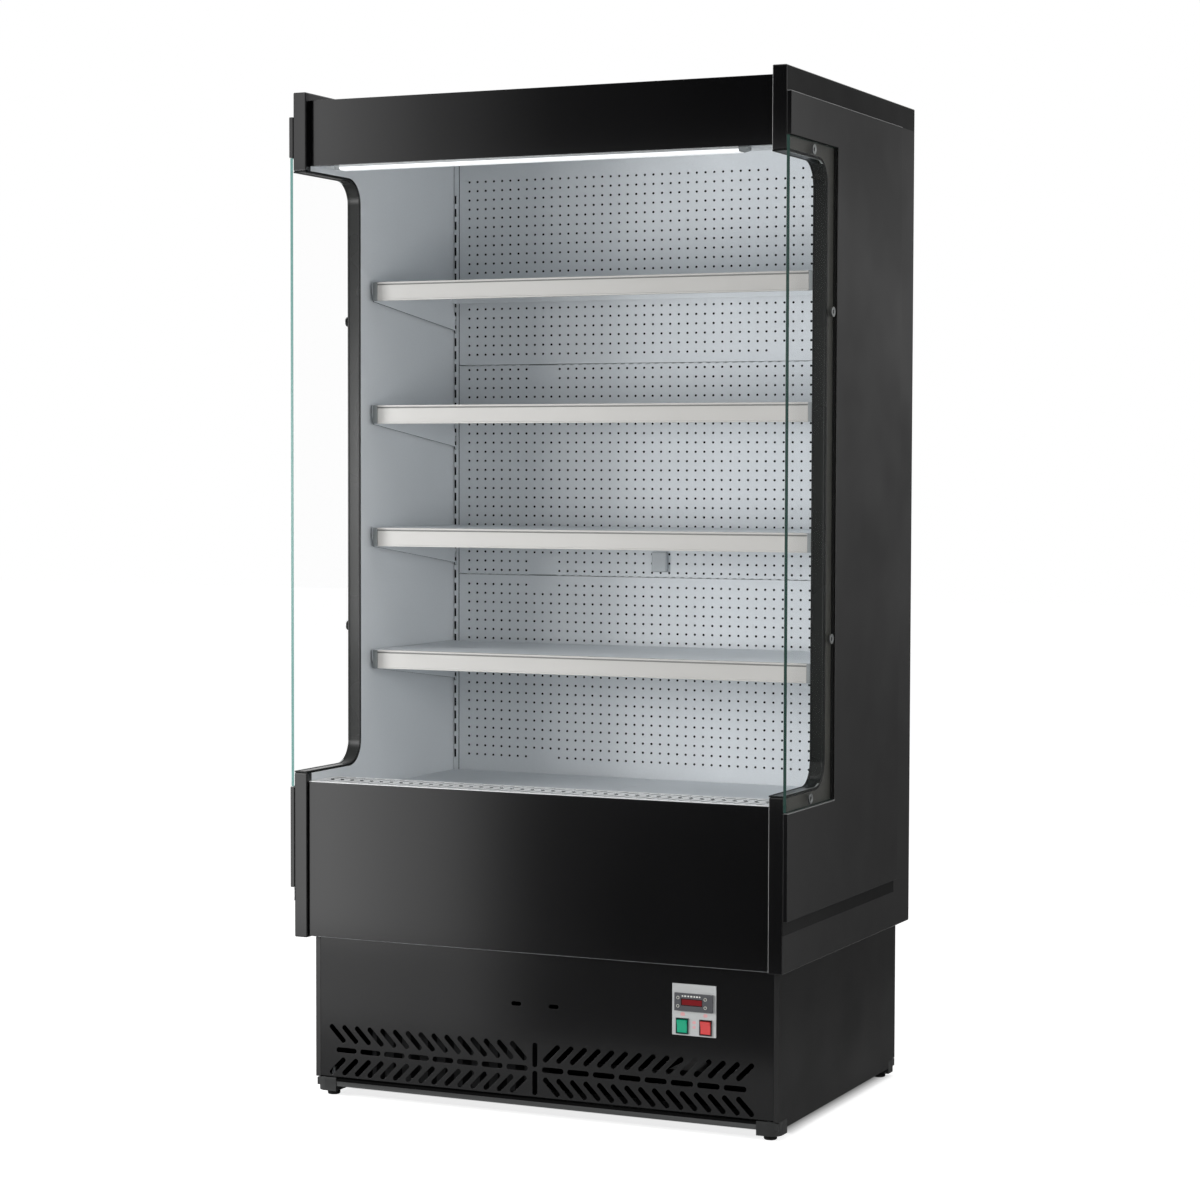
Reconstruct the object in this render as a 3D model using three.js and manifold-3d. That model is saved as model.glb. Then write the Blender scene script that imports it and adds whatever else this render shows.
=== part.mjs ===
// Open multideck display fridge: a free-standing chilled shelf cabinet with an open front,
// glass end windows, four shelves, a bottom-mounted evaporator and a condensing unit in the base.
// Millimetres, +Z up, the front faces -Y, origin on the floor at the middle of the footprint.

import * as THREE from 'three';
import { mergeVertices } from 'three/addons/utils/BufferGeometryUtils.js';
import Module from 'manifold-3d';

const wasm = await Module();
wasm.setup();

// ---------------------------------------------------------------- driving dimensions

// Whole cabinet
const overallWidth = 1000;
const overallDepth = 696;
const overallHeight = 1888;
const gap = 0.3;
const sheet = 1.5;

// Insulated end walls, their window and the outer plates
const wallThickness = 27;
const wallFootZ = 307;
const windowSillZ = 618;
const windowTopDrop = 145.5;
const windowDepth = 208;
const windowRadius = 46;
const trimThickness = 3;
const plateThickness = 9;
const plateFootZ = 400.6;
const plateTopDrop = 45;
const plateRearInset = 98;
const glassThickness = 6;
const glassLapBelow = 27;
const glassLapAbove = 25;
const glassLapRear = 31;
const glassEdgeGap = 1;

// Insulated tub, back and roof
const tubFloorThickness = 40;
const tubFrontThickness = 30;
const tubFrontHeight = 278;
const rearWallThickness = 40;
const roofThickness = 28;
const roofDrop = 15;

// Front panels
const canopySetback = 15.7;
const canopyDrop = 14.2;
const canopyHeight = 121.3;
const canopyDepth = 14;
const lowerPanelSetback = 6.2;
const lowerPanelLift = 2.8;
const lowerPanelHeight = 290.6;
const lowerPanelDepth = 11.7;

// Ceiling, air outlet and lamp
const ceilingDrop = 70;
const outletDepth = 101;
const outletSlotWidth = 7;
const outletSlotLength = 32;
const outletSlotPitch = 37;
const outletSlotInset = 30;
const lampLength = 830;
const lampDepth = 30;
const lampHeight = 9;
const lampSetback = 3.3;
const lampShift = -11;

// Rear air duct: panels between two slotted uprights
const ductDepth = 58;
const uprightWidth = 11.4;
const uprightSheet = 2;
const slotWidth = 4;
const slotHeight = 16.5;
const slotPitch = 26.4;
const slotTopDrop = 149;
const slotWallOffset = 4;
const slotFloorMargin = 30;
const ductPanelCount = 3;
const ductPanelFoot = 22;
const ductPanelFlange = 20;

// Shelves
const shelfCount = 4;
const shelfFrontSetback = 238;
const shelfSideGap = 2;
const shelfRearGap = 13;
const shelfFlange = 22;
const railHeight = 36;
const railThickness = 10;
const railSideGap = 6;
const railRound = 5;
const railGroove = 1.2;
const railGrooveDrop = 4;
const bracketSheet = 2;
const bracketRearDrop = 77.5;
const bracketFrontDrop = 37;
const hookRise = 56.65;
const hookNeck = 8;
const hookReach = 4.3;
const hookTab = 3;
const hookTabClear = 2.3;
const tongueRise = 0.6;

// Deck and return air grille
const deckTopZ = 570;
const deckFlange = 25;
const grilleDepth = 101.7;
const grilleSlotWidth = 5;
const grilleSlotLength = 30;
const grilleSlotPitchX = 30;
const grilleSlotPitchY = 34;
const grilleRowCount = 2;
const grilleSlotAngle = 60;

// Evaporator unit under the deck
const coilHeight = 130;
const coilDepth = 110;
const coilWidth = 760;
const coilSetback = 130;
const finPitch = 36;
const finGroove = 14;
const evaporatorFanRadius = 83;
const evaporatorFanOffset = 200;
const fanTipGap = 5;
const fanCollarWall = 2.5;
const fanCollarLength = 30;
const motorRadius = 30;
const motorLength = 42;
const shaftRadius = 4;
const fanHubRadius = 25;
const fanHubLength = 20;
const fanBladeSheet = 2;
const fanBladeCount = 5;
const fanBladePitch = 28;
const spiderBar = 8;

// Machine base
const baseInset = 21;
const baseFrontSetback = 43.2;
const baseRearInset = 12;
const baseFlange = 10;
const baseCornerRadius = 8;
const skirtFootZ = 21;
const frameFootZ = 20;
const frameHeight = 14;
const frameRail = 40;
const frameBarWidth = 40;
const cornerSize = 43;
const cornerRadius = 20;
const cornerTopGap = 2;
const footRadius = 12;
const footHeight = 10;
const footInset = 25;
const footChamfer = 1.5;
const studRadius = 5;
const studLength = 42;

// Base front grille
const herringbonePitch = 27.2;
const herringboneLength = 44;
const herringboneWidth = 10;
const herringboneAngle = 45;
const herringboneOffset = 31;
const herringboneMidZ = 90;
const herringboneShift = -8.5;
const herringboneFirstOffset = 33.7;
const herringboneMargin = 36;
const dashPitch = 51.3;
const dashLength = 43;
const dashFirstOffset = 36.2;
const centreSlotLength = 45;
const centreSlotOffset = 26;
const latchSlotLength = 20;
const latchSlotWidth = 8;
const latchSlotSpan = 76;
const latchSlotZ = 208;

// Rear louvres and cable gland
const louvreLength = 300;
const louvreHeight = 8;
const louvrePitch = 20;
const louvreCount = 8;
const louvreFootZ = 75;
const glandRadius = 9;
const glandLength = 11;
const glandBore = 5;
const glandInset = 100;
const glandZ = 62;

// Condensing unit
const condenserWidth = 330;
const condenserHeight = 226;
const condenserDepth = 56;
const condenserInset = 295;
const shroudLength = 34;
const condenserSetback = 40;
const condenserFanRadius = 96;
const condenserMotorLength = 55;
const compressorInset = 270;
const compressorY = 95;
const compressorDomeDrop = 42;
const compressorStubDrop = 60;
const compressorRadius = 74;
const compressorHeight = 168;
const compressorPlate = 200;
const compressorPlateHeight = 12;

// Controls
const controlInset = 192;
const controlZ = 224;
const controlWidth = 85;
const controlHeight = 93;
const controlLap = 2;
const bezelWidth = 74;
const bezelHeight = 32;
const bezelDepth = 3.2;
const bezelRise = 14;
const controllerWidth = 70.4;
const controllerHeight = 28.4;
const controllerDepth = 56;
const displayWidth = 42;
const displayHeight = 13;
const displayRecess = 0.8;
const buttonRadius = 3;
const buttonSpanX = 53;
const buttonSpanZ = 15;
const displayShift = -3.6;
const buttonLength = 3.2;
const buttonPocket = 4;
const switchWidth = 24;
const switchHeight = 29;
const switchWall = 2;
const switchWell = 15;
const switchRim = 2;
const switchSpan = 45.4;
const switchDrop = 29.4;
const rockerTilt = 8;
const rockerPivotDepth = 4;

// ---------------------------------------------------------------- derived places

const frontY = -overallDepth / 2;
const rearY = overallDepth / 2;
const wallOuterX = overallWidth / 2 - plateThickness;
const wallInnerX = wallOuterX - wallThickness;
const insideX = wallInnerX - gap;
const windowTopZ = overallHeight - windowTopDrop;
const windowRearY = frontY + windowDepth;
const plateTopZ = overallHeight - plateTopDrop;
const plateRearY = rearY - plateRearInset;
const noteBottomZ = windowSillZ - glassLapBelow;
const noteTopZ = windowTopZ + glassLapAbove;
const noteRearY = windowRearY + glassLapRear;

const tubFloorZ = wallFootZ + tubFloorThickness;
const rearWallY = rearY - rearWallThickness;
const roofTopZ = overallHeight - roofDrop;
const roofFootZ = roofTopZ - roofThickness;

const canopyFrontY = frontY + canopySetback;
const canopyTopZ = overallHeight - canopyDrop;
const canopyFootZ = canopyTopZ - canopyHeight;
const canopyRearY = canopyFrontY + canopyDepth;
const lowerPanelFrontY = frontY + lowerPanelSetback;
const lowerPanelRearY = lowerPanelFrontY + lowerPanelDepth;
const lowerPanelTopZ = wallFootZ + lowerPanelLift + lowerPanelHeight;
const tubFrontY = lowerPanelRearY + gap;

const ductY = rearWallY - ductDepth;
const ceilingZ = overallHeight - ceilingDrop;
const outletZ = canopyFootZ + sheet + gap;
const outletRearY = canopyFrontY + outletDepth;
const lampFrontY = canopyRearY + lampSetback;

const slotTopZ = overallHeight - slotTopDrop;
const slotCount = Math.floor((slotTopZ - deckTopZ - slotFloorMargin) / slotPitch) + 1;
const slotX = wallInnerX - slotWallOffset;
const shelfSlotStep = Math.round(slotCount / (shelfCount + 1));
const shelfFrontY = frontY + shelfFrontSetback;
const shelfRearY = ductY - shelfRearGap;
const shelfHalf = wallInnerX - shelfSideGap;
const railHalf = wallInnerX - railSideGap;

const grilleFrontY = lowerPanelFrontY + gap;
const grilleRearY = grilleFrontY + grilleDepth;
const grilleTopZ = lowerPanelTopZ + gap + sheet;
const deckFrontY = grilleRearY + 2 * gap;
const deckFootZ = deckTopZ - deckFlange;
const unitTopZ = deckFootZ - gap;
const unitFrontY = grilleRearY + 4;
const unitHalf = insideX - 1;
const evaporatorFanZ = (tubFloorZ + unitTopZ) / 2;

const baseX = wallOuterX - baseInset;
const baseFrontY = frontY + baseFrontSetback;
const baseRearY = rearY - baseRearInset;
const baseTopZ = wallFootZ - gap;
const frameTopZ = frameFootZ + frameHeight;
const cornerTopZ = frameTopZ + cornerTopGap;
const condenserFrontY = baseFrontY + condenserSetback;
const condenserRearY = condenserFrontY + condenserDepth;
const condenserFanZ = frameTopZ + gap + condenserHeight / 2;
const compressorFootZ = frameTopZ + gap;
const compressorX = overallWidth / 2 - compressorInset;
const condenserX = condenserInset - overallWidth / 2;
const shroudRearY = condenserRearY + shroudLength;
const glandX = glandInset - overallWidth / 2;

const controlX = overallWidth / 2 - controlInset;
const controlFrontY = baseFrontY - gap - sheet;
const bezelRearY = controlFrontY - gap;
const bezelFrontY = bezelRearY - bezelDepth;
const bezelZ = controlZ + bezelRise;
const displayX = controlX + displayShift;
const switchZ = controlZ - switchDrop;
const switchFrontY = controlFrontY - switchRim;

// ---------------------------------------------------------------- helpers

/** Radians from degrees. */
const radians = (degrees) => (degrees * Math.PI) / 180;

/** A box between two corners. */
function box(x0, x1, y0, y1, z0, z1) {
  const geometry = new THREE.BoxGeometry(x1 - x0, y1 - y0, z1 - z0);
  return geometry.translate((x0 + x1) / 2, (y0 + y1) / 2, (z0 + z1) / 2);
}

/** A closed outline through the given points. */
function outline(points) {
  return new THREE.Shape(points.map(([u, v]) => new THREE.Vector2(u, v)));
}

/** A rectangle as an outline, its corners always in the same turning order. */
function rectangle(u0, u1, v0, v1) {
  const low = Math.min(u0, u1);
  const high = Math.max(u0, u1);
  return outline([[low, v0], [high, v0], [high, v1], [low, v1]]);
}

/** An obround, turned by an angle in degrees, as a path for a hole. */
function obround(u, v, length, width, angle) {
  const half = (length - width) / 2;
  const turn = radians(angle);
  const du = half * Math.cos(turn);
  const dv = half * Math.sin(turn);
  const path = new THREE.Path();
  path.absarc(u + du, v + dv, width / 2, turn - Math.PI / 2, turn + Math.PI / 2, false);
  path.absarc(u - du, v - dv, width / 2, turn + Math.PI / 2, turn + (3 * Math.PI) / 2, false);
  path.closePath();
  return path;
}

/** Extrudes a shape and drops the attributes that a solid does not need. */
function extrude(shape, depth, curveSegments) {
  const settings = { depth, bevelEnabled: false, curveSegments };
  return new THREE.ExtrudeGeometry(shape, settings);
}

/** A YZ outline carried along X. */
function extrudeX(shape, x0, x1, curveSegments = 8) {
  const geometry = extrude(shape, x1 - x0, curveSegments);
  const basis = new THREE.Matrix4().makeBasis(
    new THREE.Vector3(0, 1, 0),
    new THREE.Vector3(0, 0, 1),
    new THREE.Vector3(1, 0, 0),
  );
  return geometry.applyMatrix4(basis).translate(x0, 0, 0);
}

/** An XZ outline carried along Y. */
function extrudeY(shape, y0, y1, curveSegments = 2) {
  const geometry = extrude(shape, y1 - y0, curveSegments);
  const basis = new THREE.Matrix4().makeBasis(
    new THREE.Vector3(1, 0, 0),
    new THREE.Vector3(0, 0, 1),
    new THREE.Vector3(0, -1, 0),
  );
  return geometry.applyMatrix4(basis).translate(0, y1, 0);
}

/** An XY outline carried up Z. */
function extrudeZ(shape, z0, z1, curveSegments = 6) {
  return extrude(shape, z1 - z0, curveSegments).translate(0, 0, z0);
}

/** A cylinder along Y. */
function cylinderY(x, z, radius, y0, y1, segments = 24) {
  const geometry = new THREE.CylinderGeometry(radius, radius, y1 - y0, segments);
  return geometry.translate(x, (y0 + y1) / 2, z);
}

/** A cylinder up Z. */
function cylinderZ(x, y, radius, z0, z1, segments = 24) {
  const geometry = new THREE.CylinderGeometry(radius, radius, z1 - z0, segments);
  return geometry.rotateX(Math.PI / 2).translate(x, y, (z0 + z1) / 2);
}

/** A closed geometry as a solid for booleans. */
function solid(geometry) {
  const bare = geometry.index ? geometry.clone() : geometry;
  bare.deleteAttribute('normal');
  bare.deleteAttribute('uv');
  const merged = mergeVertices(bare, 1e-3);
  const vertProperties = new Float32Array(merged.attributes.position.array);
  const triVerts = new Uint32Array(merged.index.array);
  return new wasm.Manifold(new wasm.Mesh({ numProp: 3, vertProperties, triVerts }));
}

/** A solid back as a geometry. */
function geometryOf(body) {
  const mesh = body.getMesh();
  const geometry = new THREE.BufferGeometry();
  geometry.setAttribute('position', new THREE.BufferAttribute(mesh.vertProperties, 3));
  geometry.setIndex(new THREE.BufferAttribute(mesh.triVerts, 1));
  geometry.computeVertexNormals();
  return geometry;
}

/** Joins geometries into one solid geometry. */
function join(first, ...others) {
  return geometryOf(others.reduce((body, other) => body.add(solid(other)), solid(first)));
}

/** Cuts geometries out of the first one. */
function cut(first, ...tools) {
  return geometryOf(tools.reduce((body, tool) => body.subtract(solid(tool)), solid(first)));
}

/** Evenly spaced places centred on zero. */
function centred(count, pitch) {
  return Array.from({ length: count }, (unused, index) => (index - (count - 1) / 2) * pitch);
}

const object = new THREE.Group();

/** Adds one named sub-part. */
function add(name, geometry, material) {
  const mesh = new THREE.Mesh(geometry, material);
  mesh.name = name;
  object.add(mesh);
  return mesh;
}

/** One finish. */
function finish(color, roughness, metalness = 0) {
  return new THREE.MeshStandardMaterial({ color, roughness, metalness });
}

const blackGloss = finish(0x0b0b0c, 0.2);
const blackSatin = finish(0x232323, 0.5);
const blackTrim = finish(0x1a1c1c, 0.35);
const whiteLiner = finish(0xd5dade, 0.45);
const railGrey = finish(0xd0cfcb, 0.4);
const greenGlass = new THREE.MeshStandardMaterial({
  color: 0xd4e6de,
  roughness: 0.05,
  transparent: true,
  opacity: 0.25,
});
const lampWhite = finish(0xffffff, 0.3);
const galvanised = finish(0xb4b8ba, 0.4, 0.8);
const finAluminium = finish(0xc3c7ca, 0.35, 0.9);
const motorBlack = finish(0x17181a, 0.45);
const fanPlastic = finish(0x2a2c2e, 0.5);
const silverPlate = finish(0xc4c5c4, 0.35, 0.6);
const controllerGrey = finish(0x3c3d40, 0.5);
const keyPale = finish(0xc9c9c2, 0.5);
const switchGreen = finish(0x1fae86, 0.3);
const switchRed = finish(0xd9534f, 0.3);
const footRubber = finish(0x121212, 0.7);

// ---------------------------------------------------------------- end walls

/** The window outline, open to the front, drawn in a wall's YZ plane with an offset. */
function windowOutline(inset, frontReach) {
  const rear = windowRearY - inset;
  const top = windowTopZ - inset;
  const sill = windowSillZ + inset;
  const radius = windowRadius - inset;
  const front = frontY - frontReach;
  const shape = new THREE.Shape();
  shape.moveTo(front, sill);
  shape.lineTo(rear - radius, sill);
  shape.absarc(rear - radius, sill + radius, radius, -Math.PI / 2, 0, false);
  shape.lineTo(rear, top - radius);
  shape.absarc(rear - radius, top - radius, radius, 0, Math.PI / 2, false);
  shape.lineTo(front, top);
  shape.closePath();
  return shape;
}

/** Insulated end wall: a tall panel with its round-cornered window open to the front. */
function sideWall(side) {
  const x0 = side < 0 ? -wallOuterX : wallInnerX;
  const panel = box(x0, x0 + wallThickness, frontY, rearY, wallFootZ, overallHeight);
  return cut(panel, extrudeX(windowOutline(0, 5), x0 - 5, x0 + wallThickness + 5));
}

/** Edge profile that lines the window of an end wall. */
function windowTrim(side) {
  const x0 = side < 0 ? -wallOuterX : wallInnerX;
  const band = extrudeX(windowOutline(gap, -1), x0, x0 + wallThickness);
  const opening = windowOutline(gap + trimThickness, 5);
  return cut(band, extrudeX(opening, x0 - 5, x0 + wallThickness + 5));
}

/** Outer plate with its square notch for the glass. */
function sidePlate(side) {
  const x0 = side < 0 ? -overallWidth / 2 : wallOuterX + gap;
  const shape = outline([
    [frontY, plateFootZ], [plateRearY, plateFootZ], [plateRearY, plateTopZ], [frontY, plateTopZ],
    [frontY, noteTopZ], [noteRearY, noteTopZ], [noteRearY, noteBottomZ], [frontY, noteBottomZ],
  ]);
  return extrudeX(shape, x0, x0 + plateThickness - gap);
}

/** Toughened pane over the window, flush in the notch of the plate. */
function sideGlass(side) {
  const inner = wallOuterX + gap;
  const x0 = side < 0 ? -inner - glassThickness : inner;
  const rear = noteRearY - glassEdgeGap;
  const foot = noteBottomZ + glassEdgeGap;
  const top = noteTopZ - glassEdgeGap;
  return box(x0, x0 + glassThickness, frontY, rear, foot, top);
}

for (const [label, side] of [['left', -1], ['right', 1]]) {
  add(`side_wall_${label}`, sideWall(side), blackGloss);
  add(`window_trim_${label}`, windowTrim(side), blackTrim);
  add(`side_plate_${label}`, sidePlate(side), blackSatin);
  add(`side_glass_${label}`, sideGlass(side), greenGlass);
}

// ---------------------------------------------------------------- insulated shell

/** Foamed tub: floor and front upstand in one piece. */
function insulatedTub() {
  const rear = rearWallY - gap;
  const upstandY = tubFrontY + tubFrontThickness;
  const upstandZ = wallFootZ + tubFrontHeight;
  const shape = outline([
    [tubFrontY, wallFootZ], [rear, wallFootZ], [rear, tubFloorZ],
    [upstandY, tubFloorZ], [upstandY, upstandZ], [tubFrontY, upstandZ],
  ]);
  return extrudeX(shape, -insideX, insideX);
}

/** A folded tray panel seen from the side: face, top return and bottom return. */
function trayOutline(faceY, depth, footZ, topZ) {
  const back = faceY + depth;
  return outline([
    [faceY, footZ], [back, footZ], [back, footZ + sheet], [faceY + sheet, footZ + sheet],
    [faceY + sheet, topZ - sheet], [back, topZ - sheet], [back, topZ], [faceY, topZ],
  ]);
}

add('insulated_tub', insulatedTub(), whiteLiner);
add(
  'rear_wall',
  box(-insideX, insideX, rearWallY, rearY, wallFootZ, roofFootZ - gap),
  blackSatin,
);
add(
  'roof_panel',
  box(-insideX, insideX, canopyRearY + gap, rearY, roofFootZ, roofTopZ),
  blackSatin,
);
add(
  'canopy_front',
  extrudeX(trayOutline(canopyFrontY, canopyDepth, canopyFootZ, canopyTopZ), -insideX, insideX),
  blackGloss,
);
add(
  'lower_front_panel',
  extrudeX(
    trayOutline(lowerPanelFrontY, lowerPanelDepth, wallFootZ + lowerPanelLift, lowerPanelTopZ),
    -insideX,
    insideX,
  ),
  blackGloss,
);

// ---------------------------------------------------------------- ceiling and lamp

/** Ceiling sheet: flat over the shelves, stepped down to the slotted air outlet at the front. */
function ceilingPanel() {
  const rear = ductY - gap;
  const front = canopyFrontY + sheet + gap;
  const shape = outline([
    [front, outletZ], [outletRearY, outletZ], [outletRearY, ceilingZ], [rear, ceilingZ],
    [rear, ceilingZ + sheet], [outletRearY - sheet, ceilingZ + sheet],
    [outletRearY - sheet, outletZ + sheet], [front, outletZ + sheet],
  ]);
  const sheetBody = extrudeX(shape, -insideX, insideX);
  const slotY = lampFrontY + lampDepth + outletSlotInset;
  const count = Math.floor((2 * insideX - outletSlotPitch) / outletSlotPitch);
  const slots = centred(count, outletSlotPitch).map((x) => extrudeZ(
    rectangle(
      x - outletSlotLength / 2,
      x + outletSlotLength / 2,
      slotY - outletSlotWidth / 2,
      slotY + outletSlotWidth / 2,
    ),
    outletZ - 1,
    outletZ + sheet + 1,
  ));
  return cut(sheetBody, ...slots);
}

/** Lamp under the canopy: a shallow bar with chamfered lower edges. */
function ledLamp() {
  const top = outletZ - gap;
  const foot = top - lampHeight;
  const rear = lampFrontY + lampDepth;
  const chamfer = lampHeight / 3;
  const shape = outline([
    [lampFrontY, top], [lampFrontY, foot + chamfer], [lampFrontY + chamfer, foot],
    [rear - chamfer, foot], [rear, foot + chamfer], [rear, top],
  ]);
  return extrudeX(shape, lampShift - lampLength / 2, lampShift + lampLength / 2);
}

add('ceiling_panel', ceilingPanel(), whiteLiner);
add('led_lamp', ledLamp(), lampWhite);

// ---------------------------------------------------------------- rear duct

/** Height of the middle of one slot, counted from the top. */
const slotZ = (index) => slotTopZ - index * slotPitch;

/** Slotted upright: a channel whose front strip carries the shelf hooks. */
function upright(side) {
  const outer = insideX;
  const inner = insideX - uprightWidth;
  const foot = tubFloorZ + gap;
  const top = ceilingZ - gap;
  const strip = rectangle(side * inner, side * outer, foot, top);
  strip.holes = Array.from({ length: slotCount }, (unused, index) => rectangle(
    side * (slotX - slotWidth / 2),
    side * (slotX + slotWidth / 2),
    slotZ(index) - slotHeight / 2,
    slotZ(index) + slotHeight / 2,
  ));
  const front = extrudeY(strip, ductY, ductY + uprightSheet);
  const [low, high] = side < 0 ? [-outer, -inner] : [inner, outer];
  const webRear = rearWallY - gap;
  const web0 = box(low, low + sheet, ductY, webRear, foot, top);
  const web1 = box(high - sheet, high, ductY, webRear, foot, top);
  return join(front, web0, web1);
}

/** One duct panel: face with two side returns. */
function ductPanel(index, height, foot) {
  const half = insideX - uprightWidth - gap;
  const z0 = foot + index * height;
  const z1 = z0 + height - gap;
  const rear = ductY + ductPanelFlange;
  const shape = outline([
    [-half, ductY], [half, ductY], [half, rear], [half - sheet, rear],
    [half - sheet, ductY + sheet], [-half + sheet, ductY + sheet],
    [-half + sheet, rear], [-half, rear],
  ]);
  return extrudeZ(shape, z0, z1);
}

add('upright_left', upright(-1), whiteLiner);
add('upright_right', upright(1), whiteLiner);
const ductFootZ = deckTopZ - ductPanelFoot;
const ductPanelHeight = (ceilingZ + 9 - ductFootZ) / ductPanelCount;
['bottom', 'middle', 'top'].forEach((label, index) => {
  add(`duct_panel_${label}`, ductPanel(index, ductPanelHeight, ductFootZ), whiteLiner);
});

// ---------------------------------------------------------------- shelves

/** Shelf top that belongs to a slot. */
const shelfTopZ = (shelf) => slotZ(shelf * shelfSlotStep) - slotHeight / 2 + hookRise;

/** Shelf pan: an inverted tray. */
function shelfPan(top) {
  const front = shelfFrontY + railThickness + gap;
  const foot = top - sheet - shelfFlange;
  const shape = outline([
    [front, foot], [front + sheet, foot], [front + sheet, top - sheet],
    [shelfRearY - sheet, top - sheet], [shelfRearY - sheet, foot], [shelfRearY, foot],
    [shelfRearY, top], [front, top],
  ]);
  return extrudeX(shape, -shelfHalf, shelfHalf);
}

/** Cantilever bracket with its upper hook and lower tongue, in two upright slots. */
function shelfBracket(side, top) {
  const pivot = top - hookRise;
  const under = top - sheet - gap;
  const front = shelfFrontY + railThickness + 2 * sheet + 2 * gap;
  const back = ductY - 4;
  const neckFoot = pivot + gap;
  const neckTop = neckFoot + hookNeck;
  const tabFront = ductY + uprightSheet + hookTabClear;
  const tabRear = tabFront + hookTab;
  const tongueFoot = neckFoot - slotPitch + tongueRise;
  const tongueTop = tongueFoot + hookNeck;
  const shape = outline([
    [front, top - bracketFrontDrop], [back, top - bracketRearDrop], [back, tongueFoot],
    [ductY + uprightSheet + hookReach, tongueFoot],
    [ductY + uprightSheet + hookReach, tongueTop],
    [back, tongueTop], [back, neckFoot], [tabFront, neckFoot],
    [tabFront, neckFoot - hookNeck], [tabRear, neckFoot - hookNeck], [tabRear, neckTop],
    [back, neckTop], [shelfRearY - sheet - 3 * gap, top - sheet - shelfFlange - 2],
    [shelfRearY - sheet - 3 * gap, under], [front, under],
  ]);
  const x0 = side * slotX - bracketSheet / 2;
  return extrudeX(shape, x0, x0 + bracketSheet);
}

/** Front rail of a shelf: a strip with a rounded foot and a groove under its top edge. */
function shelfRail(top) {
  const front = shelfFrontY;
  const rear = front + railThickness;
  const foot = top - railHeight;
  const groove = top - railGrooveDrop;
  const shape = new THREE.Shape();
  shape.moveTo(rear, foot);
  shape.lineTo(rear, top);
  shape.lineTo(front + railGroove, top);
  shape.lineTo(front, top - railGroove);
  shape.lineTo(front, groove);
  shape.lineTo(front + railGroove, groove - railGroove / 2);
  shape.lineTo(front, groove - railGroove);
  shape.lineTo(front, foot + railRound);
  shape.absarc(front + railRound, foot + railRound, railRound, Math.PI, 1.5 * Math.PI, false);
  shape.closePath();
  return extrudeX(shape, -railHalf, railHalf, 5);
}

for (let shelf = 1; shelf <= shelfCount; shelf += 1) {
  const top = shelfTopZ(shelf);
  add(`shelf_pan_${shelf}`, shelfPan(top), whiteLiner);
  add(`shelf_bracket_${shelf}_left`, shelfBracket(-1, top), whiteLiner);
  add(`shelf_bracket_${shelf}_right`, shelfBracket(1, top), whiteLiner);
  add(`shelf_rail_${shelf}`, shelfRail(top), railGrey);
}

// ---------------------------------------------------------------- deck and return grille

/** Lift-out deck pan over the evaporator: an inverted tray, one on each side of the middle. */
function deckPan(side) {
  const near = gap;
  const far = insideX - gap;
  const front = deckFrontY;
  const rear = ductY - 2;
  const [x0, x1] = side < 0 ? [-far, -near] : [near, far];
  const shell = box(x0, x1, front, rear, deckFootZ, deckTopZ);
  const under = box(
    x0 + sheet, x1 - sheet, front + sheet, rear - sheet, deckFootZ - 1, deckTopZ - sheet,
  );
  return cut(shell, under);
}

/** Return air grille: a slotted lid with a rear leg that stands on the evaporator cover. */
function returnGrille() {
  const half = insideX - gap;
  const lidFoot = grilleTopZ - sheet;
  const lid = rectangle(-half, half, grilleFrontY, grilleRearY);
  const columns = Math.floor((2 * half - grilleSlotPitchX) / grilleSlotPitchX);
  const middleY = (grilleFrontY + grilleRearY) / 2;
  lid.holes = centred(grilleRowCount, grilleSlotPitchY).flatMap((dy, row) => (
    centred(columns, grilleSlotPitchX).map((x) => obround(
      x,
      middleY + dy,
      grilleSlotLength,
      grilleSlotWidth,
      row % 2 === 0 ? grilleSlotAngle : 180 - grilleSlotAngle,
    ))
  ));
  const leg = box(-half, half, grilleRearY - sheet, grilleRearY, deckFootZ, grilleTopZ);
  return join(extrudeZ(lid, lidFoot, grilleTopZ, 1), leg);
}

add('deck_pan_left', deckPan(-1), whiteLiner);
add('deck_pan_right', deckPan(1), whiteLiner);
add('return_air_grille', returnGrille(), whiteLiner);

// ---------------------------------------------------------------- fans

/** A fan wheel about Y: hub with a blind bore for its shaft, and pitched blades. */
function fanWheel(radius, x, z, rearFaceY) {
  const hub = cylinderZ(0, 0, fanHubRadius, 0, fanHubLength);
  const root = fanHubRadius * 0.8;
  const chord = radius * 0.42;
  const blade = outline([
    [root, -chord * 0.35], [radius * 0.9, -chord * 0.6], [radius - 2, 0],
    [radius * 0.9, chord * 0.6], [root, chord * 0.35],
  ]);
  const blades = Array.from({ length: fanBladeCount }, (unused, index) => {
    const plate = extrudeZ(blade, -fanBladeSheet / 2, fanBladeSheet / 2);
    plate.rotateX(radians(fanBladePitch)).translate(0, 0, fanHubLength / 2);
    return plate.rotateZ((index * 2 * Math.PI) / fanBladeCount);
  });
  const bore = cylinderZ(0, 0, shaftRadius + gap, -1, fanHubLength - 4, 16);
  const wheel = cut(join(hub, ...blades), bore);
  return wheel.rotateX(Math.PI / 2).translate(x, rearFaceY, z);
}

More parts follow.
